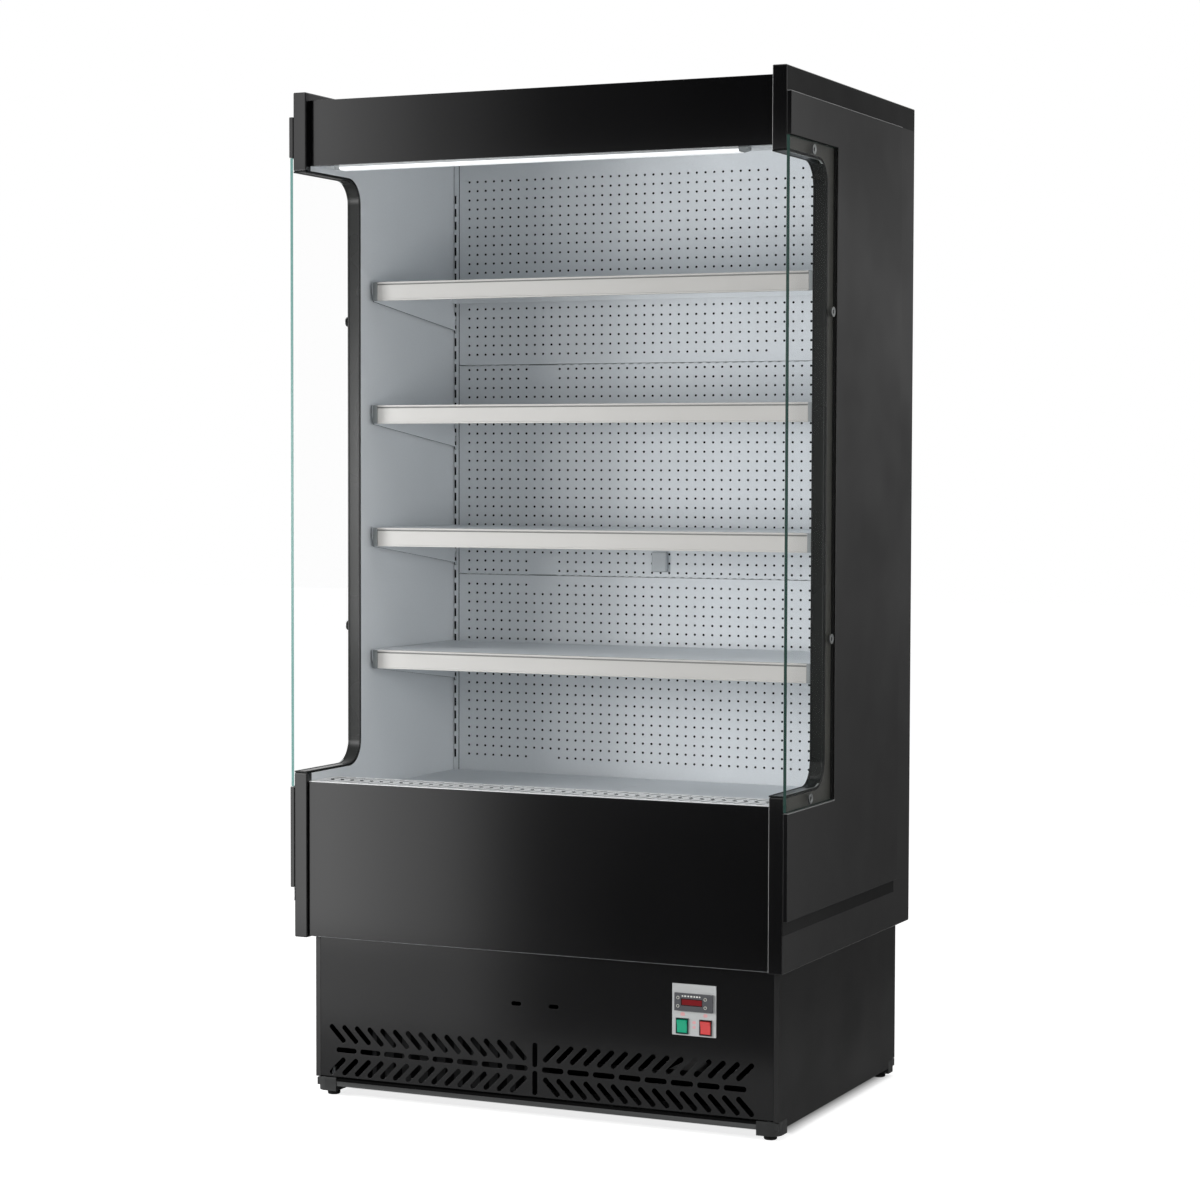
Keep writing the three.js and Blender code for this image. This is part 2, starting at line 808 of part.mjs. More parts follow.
/** Fan seat in a sheet at plateY: collar, crossed bars, motor and shaft, as solids to join. */
function fanSeat(radius, x, z, plateY, length) {
  const inner = radius + fanTipGap;
  const outer = inner + fanCollarWall;
  const front = plateY - fanCollarLength;
  const barRear = plateY + sheet + 4;
  const ring = cut(
    cylinderY(x, z, outer, front, barRear, 32),
    cylinderY(x, z, inner, front - 1, barRear + 1, 32),
  );
  const bars = [45, 135].map((angle) => {
    const reach = inner + fanCollarWall / 2;
    const bar = box(-reach, reach, plateY + sheet, barRear, -spiderBar / 2, spiderBar / 2);
    return bar.rotateY(radians(angle)).translate(x, 0, z);
  });
  const motor = cylinderY(x, z, motorRadius, plateY + sheet, plateY + length);
  const shaft = cylinderY(x, z, shaftRadius, plateY - fanHubLength, plateY + length / 2, 16);
  return [ring, ...bars, motor, shaft];
}

/** A block of finned coil: grooves in front and back leave the fins standing. */
function finBlock(x0, x1, y0, y1, z0, z1) {
  const count = Math.floor((x1 - x0) / finPitch);
  const step = (x1 - x0) / count;
  const groove = step * 0.5;
  const points = [[x0, y0]];
  for (let index = 0; index < count; index += 1) {
    const start = x0 + index * step + (step - groove) / 2;
    points.push([start, y0], [start, y0 + finGroove]);
    points.push([start + groove, y0 + finGroove], [start + groove, y0]);
  }
  points.push([x1, y0], [x1, y1]);
  for (let index = count - 1; index >= 0; index -= 1) {
    const start = x0 + index * step + (step - groove) / 2;
    points.push([start + groove, y1], [start + groove, y1 - finGroove]);
    points.push([start, y1 - finGroove], [start, y1]);
  }
  points.push([x0, y1]);
  return extrudeZ(outline(points), z0, z1);
}

// ---------------------------------------------------------------- evaporator unit

/** Evaporator unit: fan plate, cover that carries the deck, and the finned coil below it. */
function evaporatorUnit() {
  const foot = tubFloorZ + gap;
  const rear = ductY - 2;
  const cover = outline([
    [unitFrontY, foot], [unitFrontY + sheet, foot], [unitFrontY + sheet, unitTopZ - sheet],
    [rear, unitTopZ - sheet], [rear, unitTopZ], [grilleRearY - 3 * sheet, unitTopZ],
    [grilleRearY - 3 * sheet, unitTopZ - sheet], [unitFrontY, unitTopZ - sheet],
  ]);
  const coilFront = unitFrontY + coilSetback;
  const coilTop = unitTopZ - sheet;
  const coil = finBlock(
    -coilWidth / 2, coilWidth / 2, coilFront, coilFront + coilDepth, coilTop - coilHeight, coilTop,
  );
  const centres = [-evaporatorFanOffset, evaporatorFanOffset];
  const openings = centres.map((x) => cylinderY(
    x, evaporatorFanZ, evaporatorFanRadius + fanTipGap, unitFrontY - 1, unitFrontY + sheet + 1, 32,
  ));
  const plate = cut(extrudeX(cover, -unitHalf, unitHalf), ...openings);
  const seats = centres.flatMap((x) => (
    fanSeat(evaporatorFanRadius, x, evaporatorFanZ, unitFrontY, motorLength)
  ));
  return join(plate, ...seats, coil.translate(0, 0, 0.5));
}

const wheelRearY = unitFrontY - 4;
add('evaporator_unit', evaporatorUnit(), galvanised);
add(
  'evaporator_fan_left',
  fanWheel(evaporatorFanRadius, -evaporatorFanOffset, evaporatorFanZ, wheelRearY),
  fanPlastic,
);
add(
  'evaporator_fan_right',
  fanWheel(evaporatorFanRadius, evaporatorFanOffset, evaporatorFanZ, wheelRearY),
  fanPlastic,
);

// ---------------------------------------------------------------- machine base

/** Plan outline of the base skin: two sides and back in one sheet, folded in at the front. */
function skirtOutline() {
  const x = baseX;
  const lip = baseX - baseFlange;
  const r = baseCornerRadius;
  const inner = r - sheet;
  const shape = new THREE.Shape();
  shape.moveTo(-lip, baseFrontY);
  shape.lineTo(-lip, baseFrontY + sheet);
  shape.lineTo(-x + sheet, baseFrontY + sheet);
  shape.lineTo(-x + sheet, baseRearY - r);
  shape.absarc(-x + r, baseRearY - r, inner, Math.PI, Math.PI / 2, true);
  shape.lineTo(x - r, baseRearY - sheet);
  shape.absarc(x - r, baseRearY - r, inner, Math.PI / 2, 0, true);
  shape.lineTo(x - sheet, baseFrontY + sheet);
  shape.lineTo(lip, baseFrontY + sheet);
  shape.lineTo(lip, baseFrontY);
  shape.lineTo(x, baseFrontY);
  shape.lineTo(x, baseRearY - r);
  shape.absarc(x - r, baseRearY - r, r, 0, Math.PI / 2, false);
  shape.lineTo(-x + r, baseRearY);
  shape.absarc(-x + r, baseRearY - r, r, Math.PI / 2, Math.PI, false);
  shape.lineTo(-x, baseFrontY);
  shape.closePath();
  return shape;
}

/** Base skin with corner notches, rear louvres and the mains cable gland. */
function baseShell() {
  const skin = extrudeZ(skirtOutline(), skirtFootZ, baseTopZ);
  const reach = cornerSize + gap;
  const notches = [-1, 1].flatMap((sx) => [baseFrontY, baseRearY].map((y) => box(
    Math.min(sx * baseX, sx * (baseX - reach)) - 2,
    Math.max(sx * baseX, sx * (baseX - reach)) + 2,
    y < 0 ? y - 2 : y - reach,
    y < 0 ? y + reach : y + 2,
    0,
    cornerTopZ + gap,
  )));
  const louvres = Array.from({ length: louvreCount }, (unused, index) => {
    const z = louvreFootZ + index * louvrePitch;
    return box(-louvreLength / 2, louvreLength / 2, baseRearY - 5, baseRearY + 5, z, z + louvreHeight);
  });
  const gland = join(
    cylinderY(glandX, glandZ, glandRadius, baseRearY - 6, baseRearY + glandLength / 2, 6),
    cylinderY(glandX, glandZ, glandRadius * 0.75, baseRearY, baseRearY + glandLength, 20),
  );
  const bore = cylinderY(glandX, glandZ, glandBore, baseRearY - 9, baseRearY + glandLength + 5, 16);
  return cut(join(cut(skin, ...notches, ...louvres), gland), bore);
}

/** Base frame: a flat ring with cross bars and a rounded corner block over each foot. */
function baseFrame() {
  const x = baseX - sheet - gap;
  const front = baseFrontY + sheet + gap;
  const rear = baseRearY - sheet - gap;
  const ring = rectangle(-x, x, front, rear);
  const condenserBar = condenserFrontY + condenserDepth / 2;
  const bars = [
    condenserBar,
    compressorY - compressorPlate / 2 + frameBarWidth / 2,
    compressorY + compressorPlate / 2 - frameBarWidth / 2,
  ];
  const edges = [front + frameRail, ...bars.flatMap((y) => (
    [y - frameBarWidth / 2, y + frameBarWidth / 2]
  )), rear - frameRail];
  for (let index = 0; index < edges.length; index += 2) {
    if (edges[index + 1] - edges[index] > frameRail / 2) {
      ring.holes.push(rectangle(-x + frameRail, x - frameRail, edges[index], edges[index + 1]));
    }
  }
  const frame = extrudeZ(ring, frameFootZ, frameTopZ);
  const corners = [-1, 1].flatMap((sx) => [-1, 1].map((sy) => cornerBlock(sx, sy)));
  const bores = footPlaces().map(([fx, fy]) => (
    cylinderZ(fx, fy, studRadius + gap, footHeight - 1, cornerTopZ + 1, 16)
  ));
  return cut(join(frame, ...corners), ...bores);
}

/** Corner block with its outer edge rounded. */
function cornerBlock(sx, sy) {
  const x = sx * baseX;
  const y = sy < 0 ? baseFrontY : baseRearY;
  const far = (value, sign) => value - sign * cornerSize;
  const r = cornerRadius;
  const shape = new THREE.Shape();
  const cx = x - sx * r;
  const cy = y - sy * r;
  const start = Math.atan2(0, sx);
  const end = sy > 0 ? Math.PI / 2 : -Math.PI / 2;
  const clockwise = sx * sy < 0;
  shape.moveTo(far(x, sx), far(y, sy));
  shape.lineTo(x, far(y, sy));
  shape.lineTo(x, cy);
  shape.absarc(cx, cy, r, start, end + (sx < 0 && sy < 0 ? 2 * Math.PI : 0), clockwise);
  shape.lineTo(far(x, sx), y);
  shape.closePath();
  return extrudeZ(shape, footHeight, cornerTopZ);
}

/** Plan places of the four feet. */
function footPlaces() {
  const x = baseX - footInset;
  return [
    [-x, baseFrontY + footInset], [x, baseFrontY + footInset],
    [-x, baseRearY - footInset], [x, baseRearY - footInset],
  ];
}

/** Levelling foot: a chamfered pad on a screwed stud. */
function levellingFoot(x, y) {
  const top = footHeight - gap;
  const profile = [
    [0, 0], [footRadius - footChamfer, 0], [footRadius, footChamfer], [footRadius, top],
    [studRadius, top], [studRadius, top + studLength], [0, top + studLength],
  ].map(([radius, z]) => new THREE.Vector2(radius, z));
  return new THREE.LatheGeometry(profile, 24).rotateX(Math.PI / 2).translate(x, y, 0);
}

add('base_frame', baseFrame(), blackSatin);
add('base_shell', baseShell(), blackSatin);
const footNames = ['front_left', 'front_right', 'rear_left', 'rear_right'];
footPlaces().forEach(([x, y], index) => {
  add(`foot_${footNames[index]}`, levellingFoot(x, y), footRubber);
});

/** Base front: a sheet with a herringbone air grille, two latch slots and the control cut-out. */
function baseFrontGrille() {
  const half = baseX - baseFlange - gap;
  const panel = rectangle(-half, half, cornerTopZ, baseTopZ);
  const reach = half - herringboneMargin;
  const slots = [];
  const diagonals = Math.floor((reach - herringboneFirstOffset) / herringbonePitch) + 1;
  const dashes = Math.floor((reach - dashFirstOffset) / dashPitch) + 1;
  for (const side of [-1, 1]) {
    for (let index = 0; index < diagonals; index += 1) {
      const x = herringboneShift + side * (herringboneFirstOffset + index * herringbonePitch);
      for (const level of [-1, 1]) {
        const z = herringboneMidZ + level * herringboneOffset;
        const angle = side * level * herringboneAngle;
        slots.push(obround(x, z, herringboneLength, herringboneWidth, angle));
      }
    }
    for (let index = 0; index < dashes; index += 1) {
      const x = herringboneShift + side * (dashFirstOffset + index * dashPitch);
      slots.push(obround(x, herringboneMidZ, dashLength, herringboneWidth, 0));
    }
    const centreZ = herringboneMidZ + side * centreSlotOffset;
    slots.push(obround(herringboneShift, centreZ, centreSlotLength, herringboneWidth, 90));
    const latchX = herringboneShift + (side * latchSlotSpan) / 2;
    slots.push(obround(latchX, latchSlotZ, latchSlotLength, latchSlotWidth, 0));
  }
  slots.push(rectangle(
    controlX - controlWidth / 2 + controlLap,
    controlX + controlWidth / 2 - controlLap,
    controlZ - controlHeight / 2 + controlLap,
    controlZ + controlHeight / 2 - controlLap,
  ));
  panel.holes = slots;
  return extrudeY(panel, baseFrontY, baseFrontY + sheet);
}

add('base_front_grille', baseFrontGrille(), blackSatin);

// ---------------------------------------------------------------- condensing unit

/** Condenser: finned block with end plates, shroud, fan collar, motor and shaft. */
function condenser() {
  const x0 = condenserX - condenserWidth / 2;
  const x1 = condenserX + condenserWidth / 2;
  const z0 = frameTopZ + gap;
  const z1 = z0 + condenserHeight;
  const fins = finBlock(x0, x1, condenserFrontY, condenserRearY, z0, z1);
  const shroudY = shroudRearY;
  const shroud = cut(
    box(x0, x1, condenserRearY - 1, shroudY, z0, z1),
    box(x0 + sheet, x1 - sheet, condenserRearY - 2, shroudY - sheet, z0 + sheet, z1 - sheet),
    cylinderY(
      condenserX, condenserFanZ, condenserFanRadius + fanTipGap, shroudY - 9, shroudY + 9, 32,
    ),
  );
  const seat = fanSeat(
    condenserFanRadius, condenserX, condenserFanZ, shroudY - sheet, condenserMotorLength,
  );
  return join(fins, shroud, ...seat);
}

const condenserWheelY = shroudRearY - sheet - 4;
add('condenser', condenser(), galvanised);
add(
  'condenser_fan',
  fanWheel(condenserFanRadius, condenserX, condenserFanZ, condenserWheelY),
  fanPlastic,
);

/** Hermetic compressor: domed pot with a seam flange on a square foot plate. */
function compressor() {
  const r = compressorRadius;
  const foot = compressorPlateHeight;
  const h = foot + compressorHeight;
  const seam = foot + compressorHeight * 0.55;
  const profile = [
    [0, foot - 2], [r * 0.72, foot - 2], [r * 0.93, foot + 14], [r, foot + 40], [r, seam],
    [r + 5, seam], [r + 5, seam + 5], [r, seam + 5], [r * 0.97, h - compressorDomeDrop], [r * 0.82, h - 16],
    [r * 0.5, h - 3], [0, h],
  ].map(([radius, z]) => new THREE.Vector2(radius, z));
  const pot = new THREE.LatheGeometry(profile, 28).rotateX(Math.PI / 2);
  const half = compressorPlate / 2;
  const plate = box(-half, half, -half, half, 0, compressorPlateHeight);
  const stub = cylinderZ(0, r * 0.6, 6, h - compressorStubDrop, h + 14, 12);
  return join(pot, plate, stub).translate(compressorX, compressorY, compressorFootZ);
}

add('compressor', compressor(), motorBlack);

// ---------------------------------------------------------------- controls

/** Places of the two switches. */
const switchPlaces = [controlX - switchSpan / 2, controlX + switchSpan / 2];

/** Control plate with the two switch housings in it and the cut-out for the controller. */
function controlPlate() {
  const plate = rectangle(
    controlX - controlWidth / 2,
    controlX + controlWidth / 2,
    controlZ - controlHeight / 2,
    controlZ + controlHeight / 2,
  );
  plate.holes = [rectangle(
    controlX - controllerWidth / 2 - gap,
    controlX + controllerWidth / 2 + gap,
    bezelZ - controllerHeight / 2 - gap,
    bezelZ + controllerHeight / 2 + gap,
  )];
  const face = extrudeY(plate, controlFrontY, controlFrontY + sheet);
  const housings = switchPlaces.map((x) => box(
    x - switchWidth / 2, x + switchWidth / 2, switchFrontY, switchFrontY + switchWell + switchWall,
    switchZ - switchHeight / 2, switchZ + switchHeight / 2,
  ));
  const wells = switchPlaces.map((x) => box(
    x - switchWidth / 2 + switchWall, x + switchWidth / 2 - switchWall,
    switchFrontY - 1, switchFrontY + switchWell,
    switchZ - switchHeight / 2 + switchWall, switchZ + switchHeight / 2 - switchWall,
  ));
  return cut(join(face, ...housings), ...wells);
}

/** Centres of the four controller keys. */
function buttonPlaces() {
  return [-1, 1].flatMap((sx) => [1, -1].map((sz) => (
    [displayX + (sx * buttonSpanX) / 2, bezelZ + (sz * buttonSpanZ) / 2]
  )));
}

/** Temperature controller: bezel with display recess and key pockets, and its body behind. */
function controller() {
  const bezel = box(
    controlX - bezelWidth / 2, controlX + bezelWidth / 2, bezelFrontY, bezelRearY,
    bezelZ - bezelHeight / 2, bezelZ + bezelHeight / 2,
  );
  const body = box(
    controlX - controllerWidth / 2, controlX + controllerWidth / 2,
    bezelRearY - 1, bezelRearY + controllerDepth,
    bezelZ - controllerHeight / 2, bezelZ + controllerHeight / 2,
  );
  const display = box(
    displayX - displayWidth / 2, displayX + displayWidth / 2,
    bezelFrontY - 1, bezelFrontY + displayRecess,
    bezelZ - displayHeight / 2, bezelZ + displayHeight / 2,
  );
  const pockets = buttonPlaces().map(([x, z]) => (
    cylinderY(x, z, buttonRadius + gap, bezelFrontY - 1, bezelFrontY + buttonPocket, 20)
  ));
  return cut(join(bezel, body), display, ...pockets);
}

/** One controller key. */
function controllerButton(x, z) {
  const front = bezelFrontY - 0.5;
  return cylinderY(x, z, buttonRadius, front, front + buttonLength, 20);
}

/** Rocker of a switch, resting with its lower half pressed in. */
function rocker(x) {
  const width = switchWidth - 2 * switchWall - 2 * gap;
  const half = (switchHeight - 2 * switchWall) / 2 - 1;
  const pivotY = switchFrontY + rockerPivotDepth;
  const rise = half * Math.tan(radians(rockerTilt));
  const shape = outline([
    [-rockerPivotDepth, 0], [-rockerPivotDepth - rise, half], [0, half],
    [rockerPivotDepth, 0], [0, -half], [-rockerPivotDepth - rise, -half],
  ]);
  const body = extrudeX(shape, x - width / 2, x + width / 2);
  return body.rotateX(radians(rockerTilt)).translate(0, pivotY, switchZ);
}

add('control_plate', controlPlate(), silverPlate);
add('controller', controller(), controllerGrey);
const buttonNames = ['button_up', 'button_down', 'button_light', 'button_set'];
buttonPlaces().forEach(([x, z], index) => {
  add(buttonNames[index], controllerButton(x, z), keyPale);
});
add('rocker_green', rocker(switchPlaces[0]), switchGreen);
add('rocker_red', rocker(switchPlaces[1]), switchRed);

export default object;
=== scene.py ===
"""Looks of the open multideck display fridge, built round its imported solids."""

import logging
import math
from collections.abc import Callable, Iterator, Sequence
from contextlib import contextmanager
from dataclasses import dataclass
from enum import Enum

import bmesh
import bpy
from mathutils import Matrix, Vector


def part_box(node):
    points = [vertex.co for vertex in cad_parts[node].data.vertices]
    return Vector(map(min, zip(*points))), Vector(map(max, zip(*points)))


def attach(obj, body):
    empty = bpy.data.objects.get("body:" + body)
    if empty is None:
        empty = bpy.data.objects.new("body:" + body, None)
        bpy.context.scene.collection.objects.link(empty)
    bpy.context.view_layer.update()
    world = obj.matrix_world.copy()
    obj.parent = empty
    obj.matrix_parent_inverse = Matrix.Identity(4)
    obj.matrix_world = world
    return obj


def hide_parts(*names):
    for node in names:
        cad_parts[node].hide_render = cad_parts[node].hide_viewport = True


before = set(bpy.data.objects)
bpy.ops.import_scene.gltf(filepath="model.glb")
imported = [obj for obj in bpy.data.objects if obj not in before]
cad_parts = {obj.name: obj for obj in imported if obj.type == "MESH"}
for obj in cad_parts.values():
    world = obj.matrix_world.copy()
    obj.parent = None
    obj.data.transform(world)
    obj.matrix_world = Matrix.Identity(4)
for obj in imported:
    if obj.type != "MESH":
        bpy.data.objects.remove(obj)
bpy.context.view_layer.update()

log = logging.getLogger("display_fridge")

MM = 0.001
SIDES = (("left", -1.0), ("right", 1.0))
WHITE = (1.0, 1.0, 1.0, 1.0)
# how much of a normal along an axis makes a face count as facing it, or as lying square to it
FACING = 0.9
SQUARE = 0.99
WELD = 0.02 * MM
# one cloud of uneven coating is about a hand wide
CLOUD_SCALE = 5.0

Piece = bpy.types.Object
Tree = bpy.types.NodeTree
Socket = bpy.types.NodeSocket
Triple = Sequence[float]
Test = Callable[[Vector, Vector], bool]


# ------------------------------------------------------------------ finishes


def linear(code: str) -> tuple[float, float, float, float]:
    """Turns an sRGB hex colour into linear values.

    Args:
        code: Six hex digits with a leading hash.

    Returns:
        Red, green, blue and an alpha of one.
    """
    parts = [int(code[i : i + 2], 16) / 255 for i in (1, 3, 5)]
    red, green, blue = (p / 12.92 if p <= 0.04045 else ((p + 0.055) / 1.055) ** 2.4 for p in parts)
    return red, green, blue, 1.0


def add_node(
    tree: Tree, kind: str, inputs: dict | None = None, **settings: object
) -> bpy.types.Node:
    """Adds one node with its settings, input values and links.

    Args:
        tree: The node tree.
        kind: The node's type name.
        inputs: Socket name or index to a value, an output to link, or a node whose first
            output is linked.
        **settings: Properties of the node.

    Returns:
        The new node.
    """
    node = tree.nodes.new(kind)
    for name, value in settings.items():
        setattr(node, name, value)
    for name, value in (inputs or {}).items():
        if isinstance(value, bpy.types.Node):
            value = value.outputs[0]
        if isinstance(value, Socket):
            tree.links.new(value, node.inputs[name])
        else:
            node.inputs[name].default_value = value
    return node


def new_material(name: str, shade: Callable[[Tree], bpy.types.Node]) -> bpy.types.Material:
    """Finds a material, or makes it.

    Args:
        name: Its name.
        shade: Adds its nodes, and returns the last of them.

    Returns:
        The material.
    """
    material = bpy.data.materials.get(name)
    if material is None:
        material = bpy.data.materials.new(name)
        material.use_nodes = True
        tree = material.node_tree
        tree.nodes.clear()
        add_node(tree, "ShaderNodeOutputMaterial", {"Surface": shade(tree)})
    return material


class Surface(Enum):
    """How a surface was made, which sets its fine pattern."""

    SPRAYED = "powder coat with a faint orange peel"
    ROLLED = "coated coil sheet, nearly flat"
    BRUSHED = "lines brushed along the sheet"
    MOULDED = "fine spark-eroded grain"
    SPANGLED = "zinc spangle"


SPRAYED, ROLLED, BRUSHED, MOULDED, SPANGLED = Surface


@dataclass(frozen=True)
class Finish:
    """One opaque finish with its colour, gloss and fine pattern."""

    name: str
    colour: str
    roughness: float
    surface: Surface
    grain_mm: float
    relief_mm: float = 0.02
    metallic: float = 0.0
    specular: float = 0.5
    coat: float = 0.0
    colour_spread: float = 0.06
    gloss_spread: float = 0.06

    def pattern(self, tree: Tree) -> Socket:
        """Adds the fine pattern.

        Args:
            tree: The material's nodes.

        Returns:
            A value between zero and one across the surface.
        """
        place = add_node(tree, "ShaderNodeTexCoord").outputs["Object"]
        stretch = (0.03 if self.surface is Surface.BRUSHED else 1.0, 1.0, 1.0)
        mapped = add_node(tree, "ShaderNodeMapping", {"Vector": place, "Scale": stretch})
        inputs = {"Vector": mapped, "Scale": 1.0 / (self.grain_mm * MM)}
        if self.surface is Surface.SPANGLED:
            cells = add_node(tree, "ShaderNodeTexVoronoi", inputs)
            grey = add_node(tree, "ShaderNodeRGBToBW", {"Color": cells.outputs["Color"]})
            return grey.outputs[0]
        inputs |= {"Detail": 3.0, "Roughness": 0.55}
        return add_node(tree, "ShaderNodeTexNoise", inputs).outputs["Fac"]

    def shade(self, tree: Tree) -> bpy.types.Node:
        """Adds the finish's nodes and returns its shader."""
        pattern = self.pattern(tree)
        place = add_node(tree, "ShaderNodeTexCoord").outputs["Object"]
        # broad, weak clouds stand for handling marks and uneven coating
        inputs = {"Vector": place, "Scale": CLOUD_SCALE, "Detail": 2.0}
        clouds = add_node(tree, "ShaderNodeTexNoise", inputs).outputs["Fac"]
        base = linear(self.colour)[:3]
        dark, bright = (
            tuple(min(1.0, c * (1 + spread)) for c in base) + (1.0,)
            for spread in (-self.colour_spread, self.colour_spread)
        )
        mixed = add_node(tree, "ShaderNodeMath", {0: pattern, 1: clouds}, operation="MULTIPLY")
        inputs = {"Value": mixed, "From Min": 0.12, "From Max": 0.42}
        level = add_node(tree, "ShaderNodeMapRange", inputs)
        inputs = {0: level, 6: dark, 7: bright}
        colour = add_node(tree, "ShaderNodeMix", inputs, data_type="RGBA")
        inputs = {
            "Value": clouds,
            "From Min": 0.3,
            "From Max": 0.7,
            "To Min": max(0.02, self.roughness - self.gloss_spread),
            "To Max": self.roughness + self.gloss_spread,
        }
        rough = add_node(tree, "ShaderNodeMapRange", inputs)
        inputs = {"Height": pattern, "Strength": 0.5, "Distance": self.relief_mm * MM}
        bump = add_node(tree, "ShaderNodeBump", inputs)
        inputs = {
            "Base Color": colour.outputs[2],
            "Roughness": rough,
            "Metallic": self.metallic,
            "Specular IOR Level": self.specular,
            "Coat Weight": self.coat,
            "Normal": bump,
        }
        return add_node(tree, "ShaderNodeBsdfPrincipled", inputs)


@dataclass(frozen=True)
class ClearGlass:
    """Float glass seen through: a faint green veil and a mirror-smooth face."""

    name: str
    colour: str
    veil: float

    def shade(self, tree: Tree) -> bpy.types.Node:
        """Adds the finish's nodes and returns its shader."""
        place = add_node(tree, "ShaderNodeTexCoord").outputs["Object"]
        # wiped glass keeps weak smears a hand's width across
        inputs = {"Vector": place, "Scale": 9.0, "Detail": 2.0}
        smears = add_node(tree, "ShaderNodeTexNoise", inputs).outputs["Fac"]
        inputs = {"Value": smears, "To Min": 0.01, "To Max": 0.05}
        rough = add_node(tree, "ShaderNodeMapRange", inputs)
        inputs = {
            "Base Color": linear(self.colour), "Roughness": rough, "IOR": 1.52, "Alpha": self.veil,
        }
        return add_node(tree, "ShaderNodeBsdfPrincipled", inputs)


@dataclass(frozen=True)
class Lamp:
    """A milky cover lit from inside."""

    name: str
    colour: str
    strength: float

    def shade(self, tree: Tree) -> bpy.types.Node:
        """Adds the finish's nodes and returns its shader."""
        inputs = {
            "Base Color": linear(self.colour),
            "Roughness": 0.4,
            "Emission Color": linear(self.colour),
            "Emission Strength": self.strength,
        }
        return add_node(tree, "ShaderNodeBsdfPrincipled", inputs)


Coating = Finish | ClearGlass | Lamp
Parts = Sequence[tuple[Coating, Test]]


# Glossy powder coat on steel sheet: nearly black head on, with one soft-edged reflection.
PANEL_BLACK = Finish(
    "panel_steel_gloss_powder_coat", "#060607", 0.17, SPRAYED, 6.0, 0.003, gloss_spread=0.01
)
# The same coat on the foamed end walls, a little flatter.
WALL_BLACK = Finish(
    "wall_steel_gloss_powder_coat", "#070708", 0.2, SPRAYED, 6.0, 0.003, gloss_spread=0.02
)
# Fine-texture powder coat on the end plates: an even charcoal sheen.
PLATE_BLACK = Finish("plate_steel_satin_powder_coat", "#111111", 0.42, SPRAYED, 2.5, 0.02)
# The plate's upward-facing edges in light grey: a painted highlight, the line of light along its
# top edge.
PLATE_PAINTED_HIGHLIGHT = Finish(
    "plate_edge_painted_highlight", "#8c8d8d", 0.35, SPRAYED, 2.5, 0.01, specular=0.6
)
# The band of the end wall over that plate: the same coat in a duller batch.
BAND_BLACK = Finish(
    "wall_band_satin_powder_coat", "#0a0a0a", 0.42, SPRAYED, 2.5, 0.02, specular=0.12
)
# The end wall's outer face behind the pane, in grey: painted light, so that it reads as lit as the
# plate beside it.
REBATE_PAINTED_LIGHT = Finish("wall_rebate_painted_light", "#474743", 0.42, SPRAYED, 2.5, 0.02)
# The right wall's inner front corner in pale grey: a painted highlight, the line of light down that
# corner.
WALL_EDGE_PAINTED_HIGHLIGHT = Finish("wall_edge_painted_highlight", "#a6a7a7", 0.35, SPRAYED, 2.5, 0.01, specular=0.6)
# Satin powder coat on the base, back and roof, flatter and darker than the end plates.
BASE_BLACK = Finish(
    "base_steel_satin_powder_coat", "#0b0b0b", 0.36, SPRAYED, 2.5, 0.01, specular=0.24
)
# Its inner face is left in matt primer, so nothing shines behind the slots; on the chassis bars'
# tops the same dark finish is a painted shadow under the front sheet.
PRIMER_AND_SHADOW = Finish(
    "base_matt_primer_and_painted_shadow", "#080808", 0.85, SPRAYED, 2.5, 0.01, specular=0.05
)
# Grey powder coat of the chassis bars: a lighter strip under the base front ...
CHASSIS_GREY = Finish(
    "chassis_steel_grey_powder_coat", "#474848", 0.5, SPRAYED, 2.5, 0.01, specular=0.3
)
# ... between moulded nylon corner blocks.
CORNER_NYLON = Finish("chassis_corner_moulded_nylon", "#252626", 0.42, MOULDED, 1.0, 0.02)
# Extruded PVC edge profile: a glossy dark web, which mirrors the room where it is seen flat on ...
PROFILE_GREY = Finish("profile_pvc_dark_grey", "#141615", 0.28, MOULDED, 4.0, 0.003, specular=0.22)
# ... a black inner lip that draws the window's outline ...
PROFILE_BLACK = Finish("profile_pvc_black", "#080909", 0.4, MOULDED, 1.2, 0.01, specular=0.2)
# ... and pale paint on the outer band's top and underside: painted light, where those faces catch
# the light.
PROFILE_PAINTED_LIGHT = Finish("profile_pvc_painted_light", "#8b908f", 0.4, MOULDED, 1.2, 0.01)
# Plastisol-coated coil sheet in cool white: flat, with a very weak sheen.
WHITE_SHEET = Finish(
    "liner_plastisol_coated_sheet", "#e1e5e8", 0.45, ROLLED, 4.0, 0.01, colour_spread=0.02
)
# The sheared edge of that sheet, bare steel, darkened as painted shade: thin dark lines, the shadow
# under each bracket and the shade in the duct's holes.
CUT_EDGE_AND_SHADE = Finish("liner_sheared_edge_and_painted_shade", "#3c4248", 0.5, ROLLED, 2.0, 0.01, specular=0.3)
# White powder coat on the lift-out grille, painted brighter than the liner: painted light from
# above.
GRILLE_WHITE_LIT = Finish(
    "grille_white_coat_painted_light", "#fafbfb", 0.35, SPRAYED, 3.0, 0.005,
    specular=0.6, colour_spread=0.01,
)
# The punched walls of its slots, in grey: painted shade in the slots.
SLOT_PAINTED_SHADE = Finish("grille_slot_painted_shade", "#6f7679", 0.5, SPRAYED, 3.0, 0.005, specular=0.3)
# Extruded ABS ticket rail in warm light grey.
RAIL_ABS = Finish(
    "ticket_rail_extruded_abs", "#bebdba", 0.4, MOULDED, 1.0, 0.004, colour_spread=0.02
)
# Injection-moulded end caps and lamp ends, a darker grey than the rail.
CAP_ABS = Finish("end_cap_moulded_abs", "#878c8d", 0.42, MOULDED, 1.0, 0.01)
